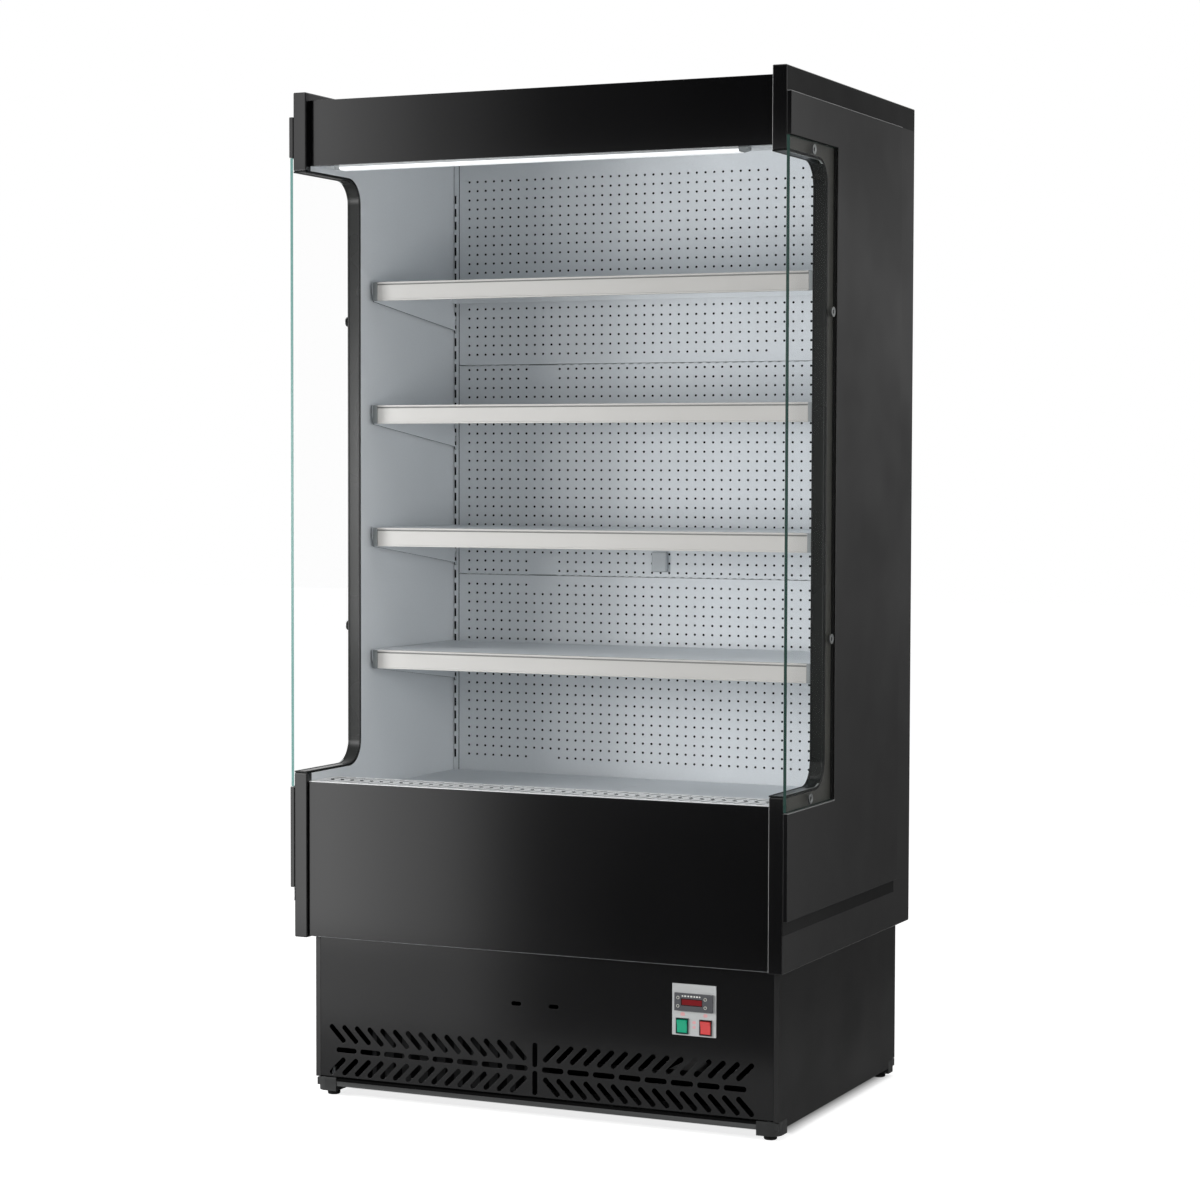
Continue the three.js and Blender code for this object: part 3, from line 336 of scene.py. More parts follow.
# Anodised aluminium channel that holds the lamp.
LAMP_CHANNEL = Finish(
    "lamp_channel_anodised_aluminium", "#b9bcbd", 0.4, BRUSHED, 0.8, 0.004, metallic=0.7
)
# Turned stainless screw heads: bright rings round a dished middle.
STAINLESS = Finish("screw_turned_stainless", "#aeb1b1", 0.34, BRUSHED, 0.8, 0.01, metallic=1.0)
# The drive socket in each head, painted dark: painted shade in the recess.
SCREW_SOCKET_SHADE = Finish(
    "screw_socket_painted_shade", "#4a4c4c", 0.5, MOULDED, 0.8, 0.01, metallic=0.6
)
# Blackened countersunk screws that hold the back sheet.
BLACK_SCREW = Finish("screw_blackened_steel", "#1d1e1f", 0.4, BRUSHED, 0.8, 0.01, metallic=0.8)
# Hot-dip galvanised sheet: a mosaic of pale zinc crystals.
ZINC = Finish("cover_hot_dip_galvanised", "#b3b7b9", 0.42, SPANGLED, 9.0, 0.01, metallic=0.9)
# Condenser fins in black: painted shade, so that the base grille reads dark.
FINS_PAINTED_SHADE = Finish(
    "condenser_fins_painted_shade", "#0d0e0f", 0.6, MOULDED, 1.5, 0.02, specular=0.2
)
# Moulded glass-filled nylon of the fan wheels.
FAN_NYLON = Finish("fan_glass_filled_nylon", "#1f2123", 0.5, MOULDED, 1.0, 0.02)
# Black stoved enamel on the compressor's pressed shell.
POT_ENAMEL = Finish("compressor_stoved_enamel", "#060606", 0.55, SPRAYED, 3.0, 0.03, specular=0.12)
# Black-painted pressed steel of the condenser's shroud.
SHROUD_PAINT = Finish(
    "condenser_shroud_painted_steel", "#0a0a0b", 0.6, SPRAYED, 3.0, 0.01, specular=0.15
)
# Brushed stainless control plate: pale, with lines along its width.
BRUSHED_PLATE = Finish(
    "control_plate_brushed_stainless", "#c4c6c6", 0.5, BRUSHED, 0.5, 0.006, metallic=0.35
)
# Spark-eroded ABS of the controller's bezel.
CONTROLLER_ABS = Finish("controller_moulded_abs", "#4b4c50", 0.5, MOULDED, 0.8, 0.02)
# Dark red filter window over the unlit digits ...
DISPLAY_RED = Finish("display_window_red_acrylic", "#7c1219", 0.12, ROLLED, 2.0, 0.002, coat=0.5)
# ... which goes nearly black towards its rim, where no light gets behind it.
DISPLAY_RIM = Finish("display_window_shaded_rim", "#3b1214", 0.15, ROLLED, 2.0, 0.002, coat=0.5)
# Pale silicone keys ...
KEY_SILICONE = Finish("key_moulded_silicone", "#c9c9c2", 0.5, MOULDED, 0.8, 0.01)
# ... with a dimple printed dark.
KEY_DIMPLE = Finish("key_printed_dimple", "#3d3f40", 0.5, MOULDED, 0.8, 0.01)
# Pad-printed marks: white by the display, faded pink by the switches.
PRINT_WHITE = Finish("bezel_pad_print_white", "#dedfda", 0.5, MOULDED, 0.8, 0.002)
PRINT_PINK = Finish("plate_pad_print_pink", "#dfa6a8", 0.5, MOULDED, 0.8, 0.002)
# Dark tinted nylon frames of the rocker switches.
FRAME_GREEN = Finish("switch_frame_green_nylon", "#0d3a33", 0.4, MOULDED, 0.8, 0.01, specular=0.3)
FRAME_RED = Finish("switch_frame_maroon_nylon", "#331a1c", 0.4, MOULDED, 0.8, 0.01, specular=0.3)
# Tinted polycarbonate rocker lenses.
LENS_GREEN = Finish(
    "switch_lens_green_polycarbonate", "#10a981", 0.2, MOULDED, 1.5, 0.004, coat=0.3
)
LENS_RED = Finish("switch_lens_red_polycarbonate", "#d94848", 0.2, MOULDED, 1.5, 0.004, coat=0.3)
# Flat black with no sheen: the EPDM seal on each pane's rear edge, and the painted shadow strip
# under each end plate.
SEAL_AND_SHADOW_BLACK = Finish("epdm_seal_and_painted_shadow", "#131313", 0.6, MOULDED, 1.0, 0.02, specular=0.2)
# Moulded rubber foot pads.
FOOT_RUBBER = Finish("foot_moulded_rubber", "#0c0c0c", 0.75, MOULDED, 1.0, 0.05, specular=0.3)
# Zinc-plated screw thread of the feet.
FOOT_THREAD = Finish("foot_zinc_plated_steel", "#8f9294", 0.35, BRUSHED, 0.8, 0.01, metallic=1.0)
# Groove of the ticket rail in darker grey: painted shade, which draws the line under the top lip.
RAIL_GROOVE_SHADE = Finish("ticket_rail_groove_painted_shade", "#8b8c8a", 0.6, MOULDED, 1.0, 0.01, specular=0.2)
# Inside of the slotted uprights in dark grey: painted shade, so that the slots read dark.
CHANNEL_PAINTED_SHADE = Finish(
    "upright_inside_painted_shade", "#23272b", 0.7, ROLLED, 3.0, 0.01, specular=0.1
)
# Light grey moulded cover of the air sensor.
TAG_ABS = Finish("sensor_cover_moulded_abs", "#b9bec1", 0.45, MOULDED, 1.0, 0.01)
# Toughened float glass: nearly nothing face on.
PANE = ClearGlass("toughened_float_glass_face", "#56685f", 0.01)
# Its ground edges: light trapped in the pane leaves there, pale teal towards the light ...
LIT_EDGE = Finish("float_glass_ground_edge_lit", "#648f8a", 0.3, ROLLED, 3.0, 0.004, specular=0.3)
# ... and dark green away from it.
SHADED_EDGE = Finish(
    "float_glass_ground_edge_shaded", "#27403a", 0.25, ROLLED, 3.0, 0.004, specular=0.3
)
# Milky polycarbonate cover of the lamp, lit.
LAMP_COVER = Lamp("lamp_cover_milky_polycarbonate", "#f4f6f8", 0.45)


# ------------------------------------------------------------------ workbench


def deselect() -> None:
    """Deselects every object."""
    bpy.ops.object.select_all(action="DESELECT")


def only(piece: Piece) -> None:
    """Selects one object alone and makes it active."""
    deselect()
    piece.select_set(True)
    bpy.context.view_layer.objects.active = piece


def take(name: str) -> Piece:
    """Names the object that an operator has just made, with its place moved into its mesh."""
    piece = bpy.context.active_object
    piece.name = name
    piece.data.name = name
    bpy.ops.object.transform_apply(location=True, rotation=True, scale=True)
    return piece


@contextmanager
def editing(piece: Piece, kind: str = "FACE") -> Iterator[None]:
    """Opens a piece in edit mode with nothing selected, and closes it again.

    Args:
        piece: The piece to edit.
        kind: VERT, EDGE or FACE.
    """
    only(piece)
    bpy.ops.object.mode_set(mode="EDIT")
    bpy.ops.mesh.select_mode(type=kind)
    bpy.ops.mesh.select_all(action="DESELECT")
    yield
    bpy.ops.object.mode_set(mode="OBJECT")


def pick(piece: Piece, kind: str, test: Test, rim: bool = False) -> None:
    """Selects what passes a test on its middle and its normal, in edit mode.

    Args:
        piece: The piece that is open in edit mode.
        kind: VERT, EDGE or FACE.
        test: Given the middle in metres and the normal; an edge's normal is its direction.
        rim: Only edges that bound a single face.
    """
    bpy.ops.mesh.select_mode(type=kind)
    bpy.ops.mesh.select_all(action="DESELECT")
    mesh = bmesh.from_edit_mesh(piece.data)
    if kind == "VERT":
        chosen = [v for v in mesh.verts if test(v.co, v.normal)]
    elif kind == "FACE":
        chosen = [f for f in mesh.faces if test(f.calc_center_median(), f.normal)]
    else:
        chosen = []
        for edge in mesh.edges:
            start, stop = (v.co for v in edge.verts)
            if not rim or len(edge.link_faces) == 1:
                if test((start + stop) / 2, (stop - start).normalized()):
                    chosen.append(edge)
    for item in chosen:
        item.select_set(True)
    mesh.select_flush_mode()
    bmesh.update_edit_mesh(piece.data)


def inset(width: float, depth: float = 0.0) -> None:
    """Insets the selected faces by millimetres."""
    bpy.ops.mesh.inset(thickness=width * MM, depth=depth * MM)


def push(*step: float) -> None:
    """Extrudes the selected faces and moves them by millimetres."""
    bpy.ops.mesh.extrude_region_move(TRANSFORM_OT_translate={"value": [c * MM for c in step]})


def slide(*step: float) -> None:
    """Moves what is selected by millimetres."""
    bpy.ops.transform.translate(value=[c * MM for c in step])


def bevel(width: float, segments: int) -> None:
    """Rounds the selected edges by millimetres."""
    bpy.ops.mesh.bevel(offset=width * MM, segments=segments, affect="EDGES")


def split_at(piece: Piece, axis: str, *places: float) -> None:
    """Cuts a piece's faces along planes, so that each side can be finished on its own.

    Args:
        piece: The piece.
        axis: X, Y or Z, which the planes stand across.
        *places: Where the planes stand, in millimetres.
    """
    along = Vector([float(axis == name) for name in "XYZ"])
    with editing(piece):
        for place in places:
            bpy.ops.mesh.select_all(action="SELECT")
            bpy.ops.mesh.bisect(plane_co=along * place * MM, plane_no=along)


def modify(piece: Piece, kind: str, **settings: object) -> Piece:
    """Adds a modifier with its settings and applies it."""
    only(piece)
    modifier = piece.modifiers.new(kind.lower(), kind)
    for name, value in settings.items():
        setattr(modifier, name, value)
    bpy.ops.object.modifier_apply(modifier=modifier.name)
    return piece


def repeated(piece: Piece, count: int, *step: float, weld: bool = False) -> Piece:
    """Repeats a piece along a step in millimetres, and welds its copies where asked."""
    return modify(
        piece,
        "ARRAY",
        count=count,
        use_relative_offset=False,
        use_constant_offset=True,
        constant_offset_displace=[c * MM for c in step],
        use_merge_vertices=weld,
        merge_threshold=WELD,
    )


def round_edges(piece: Piece, width: float, segments: int = 2, angle: float = 35) -> None:
    """Rounds every edge sharper than an angle and smooths the shading between flat faces."""
    modify(
        piece,
        "BEVEL",
        width=width * MM,
        segments=segments,
        limit_method="ANGLE",
        angle_limit=math.radians(angle),
        miter_outer="MITER_ARC",
    )
    even_shading(piece, angle)


def even_shading(piece: Piece, angle: float = 35) -> None:
    """Smooths the roundings and lets broad faces keep their flat shading."""
    only(piece)
    bpy.ops.object.shade_smooth_by_angle(angle=math.radians(angle))
    modify(piece, "WEIGHTED_NORMAL", keep_sharp=True)


def block(name: str, low: Triple, high: Triple) -> Piece:
    """Adds a block between two corners in millimetres."""
    deselect()
    middle = [(a + b) / 2 * MM for a, b in zip(low, high)]
    size = [(b - a) * MM for a, b in zip(low, high)]
    bpy.ops.mesh.primitive_cube_add(size=1, location=middle, scale=size)
    return take(name)


def rod(
    name: str, middle: Triple, radius: float, length: float, axis: str = "Z", sides: int = 32
) -> Piece:
    """Adds a round bar.

    Args:
        name: The piece's name.
        middle: Its middle in millimetres.
        radius: Its radius.
        length: Its length.
        axis: X, Y or Z.
        sides: Faces round it.

    Returns:
        The bar.
    """
    deselect()
    turn = {"X": (0, math.pi / 2, 0), "Y": (math.pi / 2, 0, 0), "Z": (0, 0, 0)}[axis]
    bpy.ops.mesh.primitive_cylinder_add(
        vertices=sides,
        radius=radius * MM,
        depth=length * MM,
        location=[c * MM for c in middle],
        rotation=turn,
    )
    return take(name)


def capsule(
    name: str, middle: Triple, length: float, width: float, depth: float, sides: int = 16
) -> Piece:
    """Adds a round-ended bar along X, with its depth along Y: a bar pulled apart at its middle."""
    piece = rod(name, (0, 0, 0), width / 2, depth, "Y", sides)
    with editing(piece, "VERT"):
        for side in (-1, 1):
            pick(piece, "VERT", lambda place, _: place.x * side > 1e-6)
            slide(side * (length - width) / 2, 0, 0)
    piece.location = [c * MM for c in middle]
    return piece


def joined(pieces: Sequence[Piece], name: str) -> Piece:
    """Joins pieces into one object, with its place moved into its mesh."""
    deselect()
    for piece in pieces:
        piece.select_set(True)
    bpy.context.view_layer.objects.active = pieces[0]
    bpy.ops.object.transform_apply(location=True, rotation=True, scale=True)
    if len(pieces) > 1:
        bpy.ops.object.join()
    return take(name)


def cut_out(piece: Piece, cutter: Piece) -> Piece:
    """Cuts a closed cutter out of a piece and throws the cutter away."""
    modify(piece, "BOOLEAN", operation="DIFFERENCE", solver="EXACT", object=cutter)
    bpy.data.objects.remove(cutter)
    return piece


def shaped(node: str, name: str, width: float, segments: int = 2) -> Piece:
    """Copies a solid, merges its loose triangles and rounds its edges.

    Args:
        node: The solid's name.
        name: The new piece's name.
        width: Rounding of its edges in millimetres, or zero for none.
        segments: Steps of that rounding.

    Returns:
        The new piece.
    """
    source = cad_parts[node]
    piece = bpy.data.objects.new(name, source.data.copy())
    piece.data.materials.clear()
    bpy.context.collection.objects.link(piece)
    only(piece)
    bpy.ops.mesh.customdata_custom_splitnormals_clear()
    with editing(piece, "VERT"):
        bpy.ops.mesh.select_all(action="SELECT")
        bpy.ops.mesh.remove_doubles(threshold=WELD)
        bpy.ops.mesh.dissolve_limited(angle_limit=math.radians(0.5))
    if width:
        round_edges(piece, width, segments)
    return piece


def dress(piece: Piece, finish: Coating, parts: Parts = ()) -> None:
    """Gives a piece its finish, and other finishes where a test passes: the last one holds.

    Args:
        piece: The piece.
        finish: The finish of the whole.
        parts: Pairs of a finish and a test on a face's middle in millimetres and its normal.
    """
    piece.data.materials.clear()
    for coat in (finish, *(other for other, _ in parts)):
        piece.data.materials.append(new_material(coat.name, coat.shade))
    for face in piece.data.polygons:
        face.material_index = 0
        for index, (_, test) in enumerate(parts, 1):
            if test(face.center / MM, face.normal):
                face.material_index = index


def deliver(piece: Piece, slot: str, *nodes: str, body: str = "cabinet") -> None:
    """Fixes a finished piece to its body, and reports it.

    Args:
        piece: The piece.
        slot: Not used.
        *nodes: The solids that it stands for.
        body: The body that carries it.
    """
    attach(piece, body)
    if nodes:
        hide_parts(*nodes)
    log.info("%s: %d faces on %s", piece.name, len(piece.data.polygons), body)


def stand_in(
    node: str,
    name: str,
    slot: str,
    finish: Coating,
    rounding: tuple[float, int],
    parts: Parts = (),
    body: str = "cabinet",
) -> None:
    """Makes a piece that is its solid with rounded edges and finishes.

    Args:
        node: The solid that it stands for.
        name: The piece's name.
        slot: The record's slot, handed on to deliver, which does not use it.
        finish: The finish of the whole.
        rounding: Rounding of its edges in millimetres, and its steps.
        parts: Finishes of parts of it, as dress takes them.
        body: The body that carries it.
    """
    piece = shaped(node, name, *rounding)
    dress(piece, finish, parts)
    deliver(piece, slot, node, body=body)


def corners(node: str) -> tuple[Vector, Vector]:
    """Returns a solid's lowest and highest corner in millimetres."""
    low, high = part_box(node)
    return low / MM, high / MM


# ------------------------------------------------------------------ sub-assemblies


@dataclass
class EndWalls:
    """Insulated end walls with their window profile, outer plate, pane and screws."""

    lit_band: float = 4.0
    shadow_line: float = 4.0
    profile_relief: float = 0.8
    wall_rounding: float = 2.2
    plate_rounding: float = 1.4
    pane_arris: float = 0.35
    shadow_strip_height: float = 25.0
    shadow_strip_thickness: float = 1.5
    screw_radius: float = 9.2
    screw_height: float = 2.5
    screw_rim: float = 2.8
    screw_step: tuple[float, float] = (0.9, -0.7)
    screw_flat: float = 1.8
    socket_depth: float = 1.0
    screw_places: tuple[tuple[float, float], ...] = (
        (-232.0, 1752.5), (-129.0, 1473.0), (-127.5, 884.5), (-230.0, 605.5),
    )

    def build(self) -> None:
        """Builds both ends."""
        for label, side in SIDES:
            self.wall(label, side)
            self.profile(label, side)
            self.plate(label)
            self.shadow_strip(label, side)
            self.pane(label, side)
            self.screws(label, side)

    def wall(self, label: str, side: float) -> None:
        """Shapes the foamed wall: black outside, white liner inside."""
        low, high = corners(f"side_wall_{label}")
        inner = high.x if side < 0 else low.x
        front = corners("lower_front_panel")[1].y
        roof = corners("roof_panel")[0].z
        pane_low, pane_high = corners(f"side_glass_{label}")
        piece = shaped(f"side_wall_{label}", f"end_wall_{label}", 0)
        split_at(piece, "Y", front, pane_high.y)
        split_at(piece, "Z", roof, pane_low.z, pane_high.z)
        round_edges(piece, self.wall_rounding, 3)

        def liner(at: Vector, out: Vector) -> bool:
            """Tells whether a face is part of the white inside."""
            inside = abs(at.x - inner) < 0.2 and out.x * side < -FACING
            return inside and at.y > front and at.z < roof

        def rebate(at: Vector, out: Vector) -> bool:
            """Tells whether a face lies behind the pane."""
            behind = at.y < pane_high.y and pane_low.z < at.z < pane_high.z
            return behind and out.x * side > SQUARE

        def corner(at: Vector, out: Vector) -> bool:
            """Tells whether a face is the right wall's inner front corner."""
            near = side > 0 and abs(at.x - inner) < self.wall_rounding
            return near and max(out.x, out.y) < -0.3

        parts = [
            (WHITE_SHEET, liner),
            (PLATE_BLACK, lambda at, out: out.x * side > SQUARE),
            (BAND_BLACK, lambda at, out: out.x * side > SQUARE and at.z > roof),
            # the wall's face behind the pane is painted lighter: painted light
            (REBATE_PAINTED_LIGHT, rebate),
            # the right wall's inner front corner carries a painted highlight
            (WALL_EDGE_PAINTED_HIGHLIGHT, corner),
        ]
        dress(piece, WALL_BLACK, parts)
        deliver(piece, "black_gloss_panel", f"side_wall_{label}")

    def profile(self, label: str, side: float) -> None:
        """Shapes the window profile: painted light on the outer band's top and underside, a sunk
        middle and a black inner lip.
        """
        node = f"window_trim_{label}"
        low, high = corners(node)
        outer, inner = (low.x, high.x) if side < 0 else (high.x, low.x)
        first = outer - side * self.lit_band
        last = inner + side * self.shadow_line
        middle = Vector((0, -0.2, (low.z + high.z) / 2 * MM))
        near, far = sorted((first, last))
        piece = shaped(node, f"window_profile_{label}", 0)
        split_at(piece, "X", first, last)

        def web(at: Vector, out: Vector) -> bool:
            """Tells whether a face is part of the sunk middle, towards the window."""
            across = near < at.x / MM < far and abs(out.x) < 0.1
            return across and out.dot(middle - at) > 0 and at.y / MM > low.y + 1

        with editing(piece):
            pick(piece, "FACE", web)
            sink = {"value": -self.profile_relief * MM}
            bpy.ops.mesh.extrude_region_shrink_fatten(TRANSFORM_OT_shrink_fatten=sink)
        round_edges(piece, 0.35, 1, 50)
        parts = [
            # the outer band's up- and down-facing faces carry painted light
            (PROFILE_PAINTED_LIGHT, lambda at, out: (at.x - first) * side > 0.2 and abs(out.z) > FACING),
            (PROFILE_BLACK, lambda at, _: (last - at.x) * side > 0.2),
        ]
        dress(piece, PROFILE_GREY, parts)
        deliver(piece, "black_trim", node)

    def plate(self, label: str) -> None:
        """Shapes the outer plate with softly rounded edges."""
        parts = [
            # the upward-facing edges carry a painted highlight
            (PLATE_PAINTED_HIGHLIGHT, lambda _, out: abs(out.x) < SQUARE and out.z > 0.2),
            (WALL_BLACK, lambda _, out: out.y < -0.8),
        ]
        node, rounding = f"side_plate_{label}", (self.plate_rounding, 3)
        stand_in(node, f"end_plate_{label}", "black_satin", PLATE_BLACK, rounding, parts)

    def shadow_strip(self, label: str, side: float) -> None:
        """Makes the flat black strip under the plate's lower edge, a painted shadow of the plate:
        two soft ribs on a web.
        """
        low, high = corners(f"side_plate_{label}")
        wall_low, wall_high = corners(f"side_wall_{label}")
        face = wall_low.x if side < 0 else wall_high.x
        near, far = sorted((face, face + side * self.shadow_strip_thickness))
        start, stop = (near, low.y + 1, low.z - self.shadow_strip_height), (far, high.y, low.z - 0.2)
        piece = block(f"plate_seal_{label}", start, stop)
        split_at(piece, "Z", low.z - self.shadow_strip_height * 0.75, low.z - self.shadow_strip_height * 0.25)

        def groove(at: Vector, out: Vector) -> bool:
            """Tells whether a face is the outside of the web between the ribs."""
            return out.x * side > FACING and abs(at.z / MM - low.z + self.shadow_strip_height / 2) < 1

        with editing(piece):
            pick(piece, "FACE", groove)
            slide(-side * self.shadow_strip_thickness / 3, 0, 0)
        round_edges(piece, 0.3, 2, 20)
        # the strip is flat black: a painted shadow of the plate on the wall
        dress(piece, SEAL_AND_SHADOW_BLACK)
        deliver(piece, "foot_rubber")

    def pane(self, label: str, side: float) -> None:
        """Makes the pane: clear faces, arrised and green ground edges."""
        low, high = corners(f"side_glass_{label}")
        piece = block(f"pane_{label}", low, high)
        round_edges(piece, self.pane_arris, 2)
        edge = LIT_EDGE if side < 0 else SHADED_EDGE
        parts = [
            (edge, lambda _, out: abs(out.x) < FACING),
            (SEAL_AND_SHADOW_BLACK, lambda at, out: abs(out.x) < FACING and at.y > high.y - 1),
        ]
        dress(piece, PANE, parts)
        deliver(piece, "green_glass", f"side_glass_{label}")

    def screws(self, label: str, side: float) -> None:
        """Makes the dished screw heads that hold the pane."""
        low, high = corners(f"side_glass_{label}")
        face = low.x if side < 0 else high.x
        heads = []
        for y, z in self.screw_places:
            middle = (face + side * self.screw_height / 2, y, z)
            head = rod(f"head_{y}_{z}", middle, self.screw_radius, self.screw_height, "X", 28)
            with editing(head):
                pick(head, "FACE", lambda _, out: out.x * side > FACING)
                inset(self.screw_rim)
                inset(*self.screw_step)
                inset(self.screw_flat)
                push(-side * self.socket_depth, 0, 0)
            round_edges(head, 0.3, 2, 40)
            heads.append(head)
        piece = joined(heads, f"pane_screws_{label}")
        socket = face + side * (self.screw_height - 0.6)
        # the socket is painted dark: painted shade
        dress(piece, STAINLESS, [(SCREW_SOCKET_SHADE, lambda at, _: (socket - at.x) * side > 0.2)])
        deliver(piece, "galvanised")


@dataclass
class FrontPanels:
    """Canopy, lower front panel, roof, back and the foamed tub behind them."""

    sheet_rounding: tuple[float, int] = (0.7, 2)
    skin_rounding: tuple[float, int] = (1.5, 2)
    screw_inset: float = 22.0
    screw_radius: float = 4.2
    screw_depth: float = 1.6
    screw_drop: float = 0.3
    screw_rows: int = 5

    def build(self) -> None:
        """Builds the panels."""
        sheet, skin = self.sheet_rounding, self.skin_rounding
        for node in ("canopy_front", "lower_front_panel"):
            stand_in(node, f"{node}_sheet", "black_gloss_panel", PANEL_BLACK, sheet)
        stand_in("roof_panel", "roof_panel_skin", "black_satin", BASE_BLACK, skin)
        self.back()
        stand_in("insulated_tub", "foamed_tub", "white_liner", WHITE_SHEET, skin)

    def back(self) -> None:
        """Shapes the back sheet, with a row of countersunk screws down each side."""
        low, high = corners("rear_wall")
        piece = shaped("rear_wall", "rear_wall_skin", 0)
        drills, heads = [], []
        rise = (high.z - low.z - 2 * self.screw_inset) / (self.screw_rows - 1)
        radius, depth = self.screw_radius, self.screw_depth
        for x in (low.x + self.screw_inset, high.x - self.screw_inset):
            for row in range(self.screw_rows):
                z = low.z + self.screw_inset + row * rise
                name = f"back_screw_{len(heads)}"
                drills.append(rod(name + "_sink", (x, high.y, z), radius + 0.4, 2 * depth, "Y", 24))
                middle = (x, high.y - depth / 2 - self.screw_drop, z)
                head = rod(name, middle, radius, depth, "Y", 24)
                with editing(head):
                    pick(head, "FACE", lambda _, out: out.y > FACING)
                    inset(radius * 0.55)
                    inset(0.3, -0.7)
                heads.append(head)
        cut_out(piece, joined(drills, "back_sinks"))
        round_edges(piece, 0.5, 2)
        dress(piece, BASE_BLACK)
        deliver(piece, "black_satin", "rear_wall")
        screws = joined(heads, "back_screws")
        round_edges(screws, 0.2, 1, 40)
        dress(screws, BLACK_SCREW)
        deliver(screws, "galvanised")


@dataclass
class CeilingAndLamp:
    """Ceiling sheet with its air outlet, and the lamp bar with its end fittings."""

    left_fitting: float = 14.0
    right_fitting: float = 16.0
    fitting_gap: float = 0.3
    cover_gap: float = 0.1
    cover_height: float = 5.5
    cover_inset: float = 1.5
    cover_radius: float = 4.5

    def build(self) -> None:
        """Builds the ceiling and the lamp."""
        stand_in("ceiling_panel", "ceiling_sheet", "white_liner", WHITE_SHEET, (0.5, 2))
        low, high = corners("led_lamp")
        start, stop = low.x + self.left_fitting, high.x - self.right_fitting
        split = low.z + self.cover_height
        foot = split + self.cover_gap
        channel = block("lamp_channel", (start, low.y, foot), (stop, high.y, high.z))
        with editing(channel):
            pick(channel, "FACE", lambda _, out: out.y < -FACING)
            inset(1.0, -0.5)
        round_edges(channel, 0.3, 1)
        dress(channel, LAMP_CHANNEL)
        deliver(channel, "galvanised")
        near, far = low.y + self.cover_inset, high.y - self.cover_inset
        cover = block("lamp_cover", (start, near, low.z), (stop, far, split))
        with editing(cover, "EDGE"):
            pick(cover, "EDGE", lambda at, along: abs(along.x) > FACING and at.z / MM < low.z + 1)
            bevel(self.cover_radius, 4)
        even_shading(cover)
        dress(cover, LAMP_COVER)
        deliver(cover, "lamp_white", "led_lamp")
        ends = [
            self.fitting(low, high, low.x, start - self.fitting_gap, low.x),
            self.fitting(low, high, stop + self.fitting_gap, high.x, high.x),
        ]
        fittings = joined(ends, "lamp_end_fittings")
        dress(fittings, CAP_ABS)
        deliver(fittings, "controller_grey")

    def fitting(self, low: Vector, high: Vector, start: float, stop: float, tip: float) -> Piece:
        """Makes one end fitting, narrowed towards its tip.

        Args:
            low: The lamp's lowest corner.
            high: The lamp's highest corner.
            start: Where the fitting begins along X.
            stop: Where it ends.
            tip: Which of the two is its free end.

        Returns:
            The fitting.
        """

        def free_end(at: Vector, _: Vector) -> bool:
            """Tells whether a face is the fitting's free end."""
            return abs(at.x / MM - tip) < 0.1

        end = block("end", (start, low.y + 1, low.z + 0.5), (stop, high.y - 1, high.z))
        with editing(end):
            pick(end, "FACE", free_end)
            origin = (tip * MM, 0, high.z * MM)
            bpy.ops.transform.resize(value=(1, 0.6, 0.7), center_override=origin)
            pick(end, "FACE", free_end)
            slide(0, (low.y + high.y) / 2 * 0.4, 0)
        round_edges(end, 1.0, 2)
        return end


@dataclass
class DuctPanel:
    """One punched panel of the rear duct.

    Each blank is a row, with the first and the last column of the holes that it leaves out.
    """

    label: str
    rows: int
    first_row: float
    last_row: float
    blanks: tuple[tuple[int, int, int], ...]

    def pitch(self) -> float:
        """Returns the spacing of the rows in millimetres."""
        return (self.first_row - self.last_row) / (self.rows - 1)


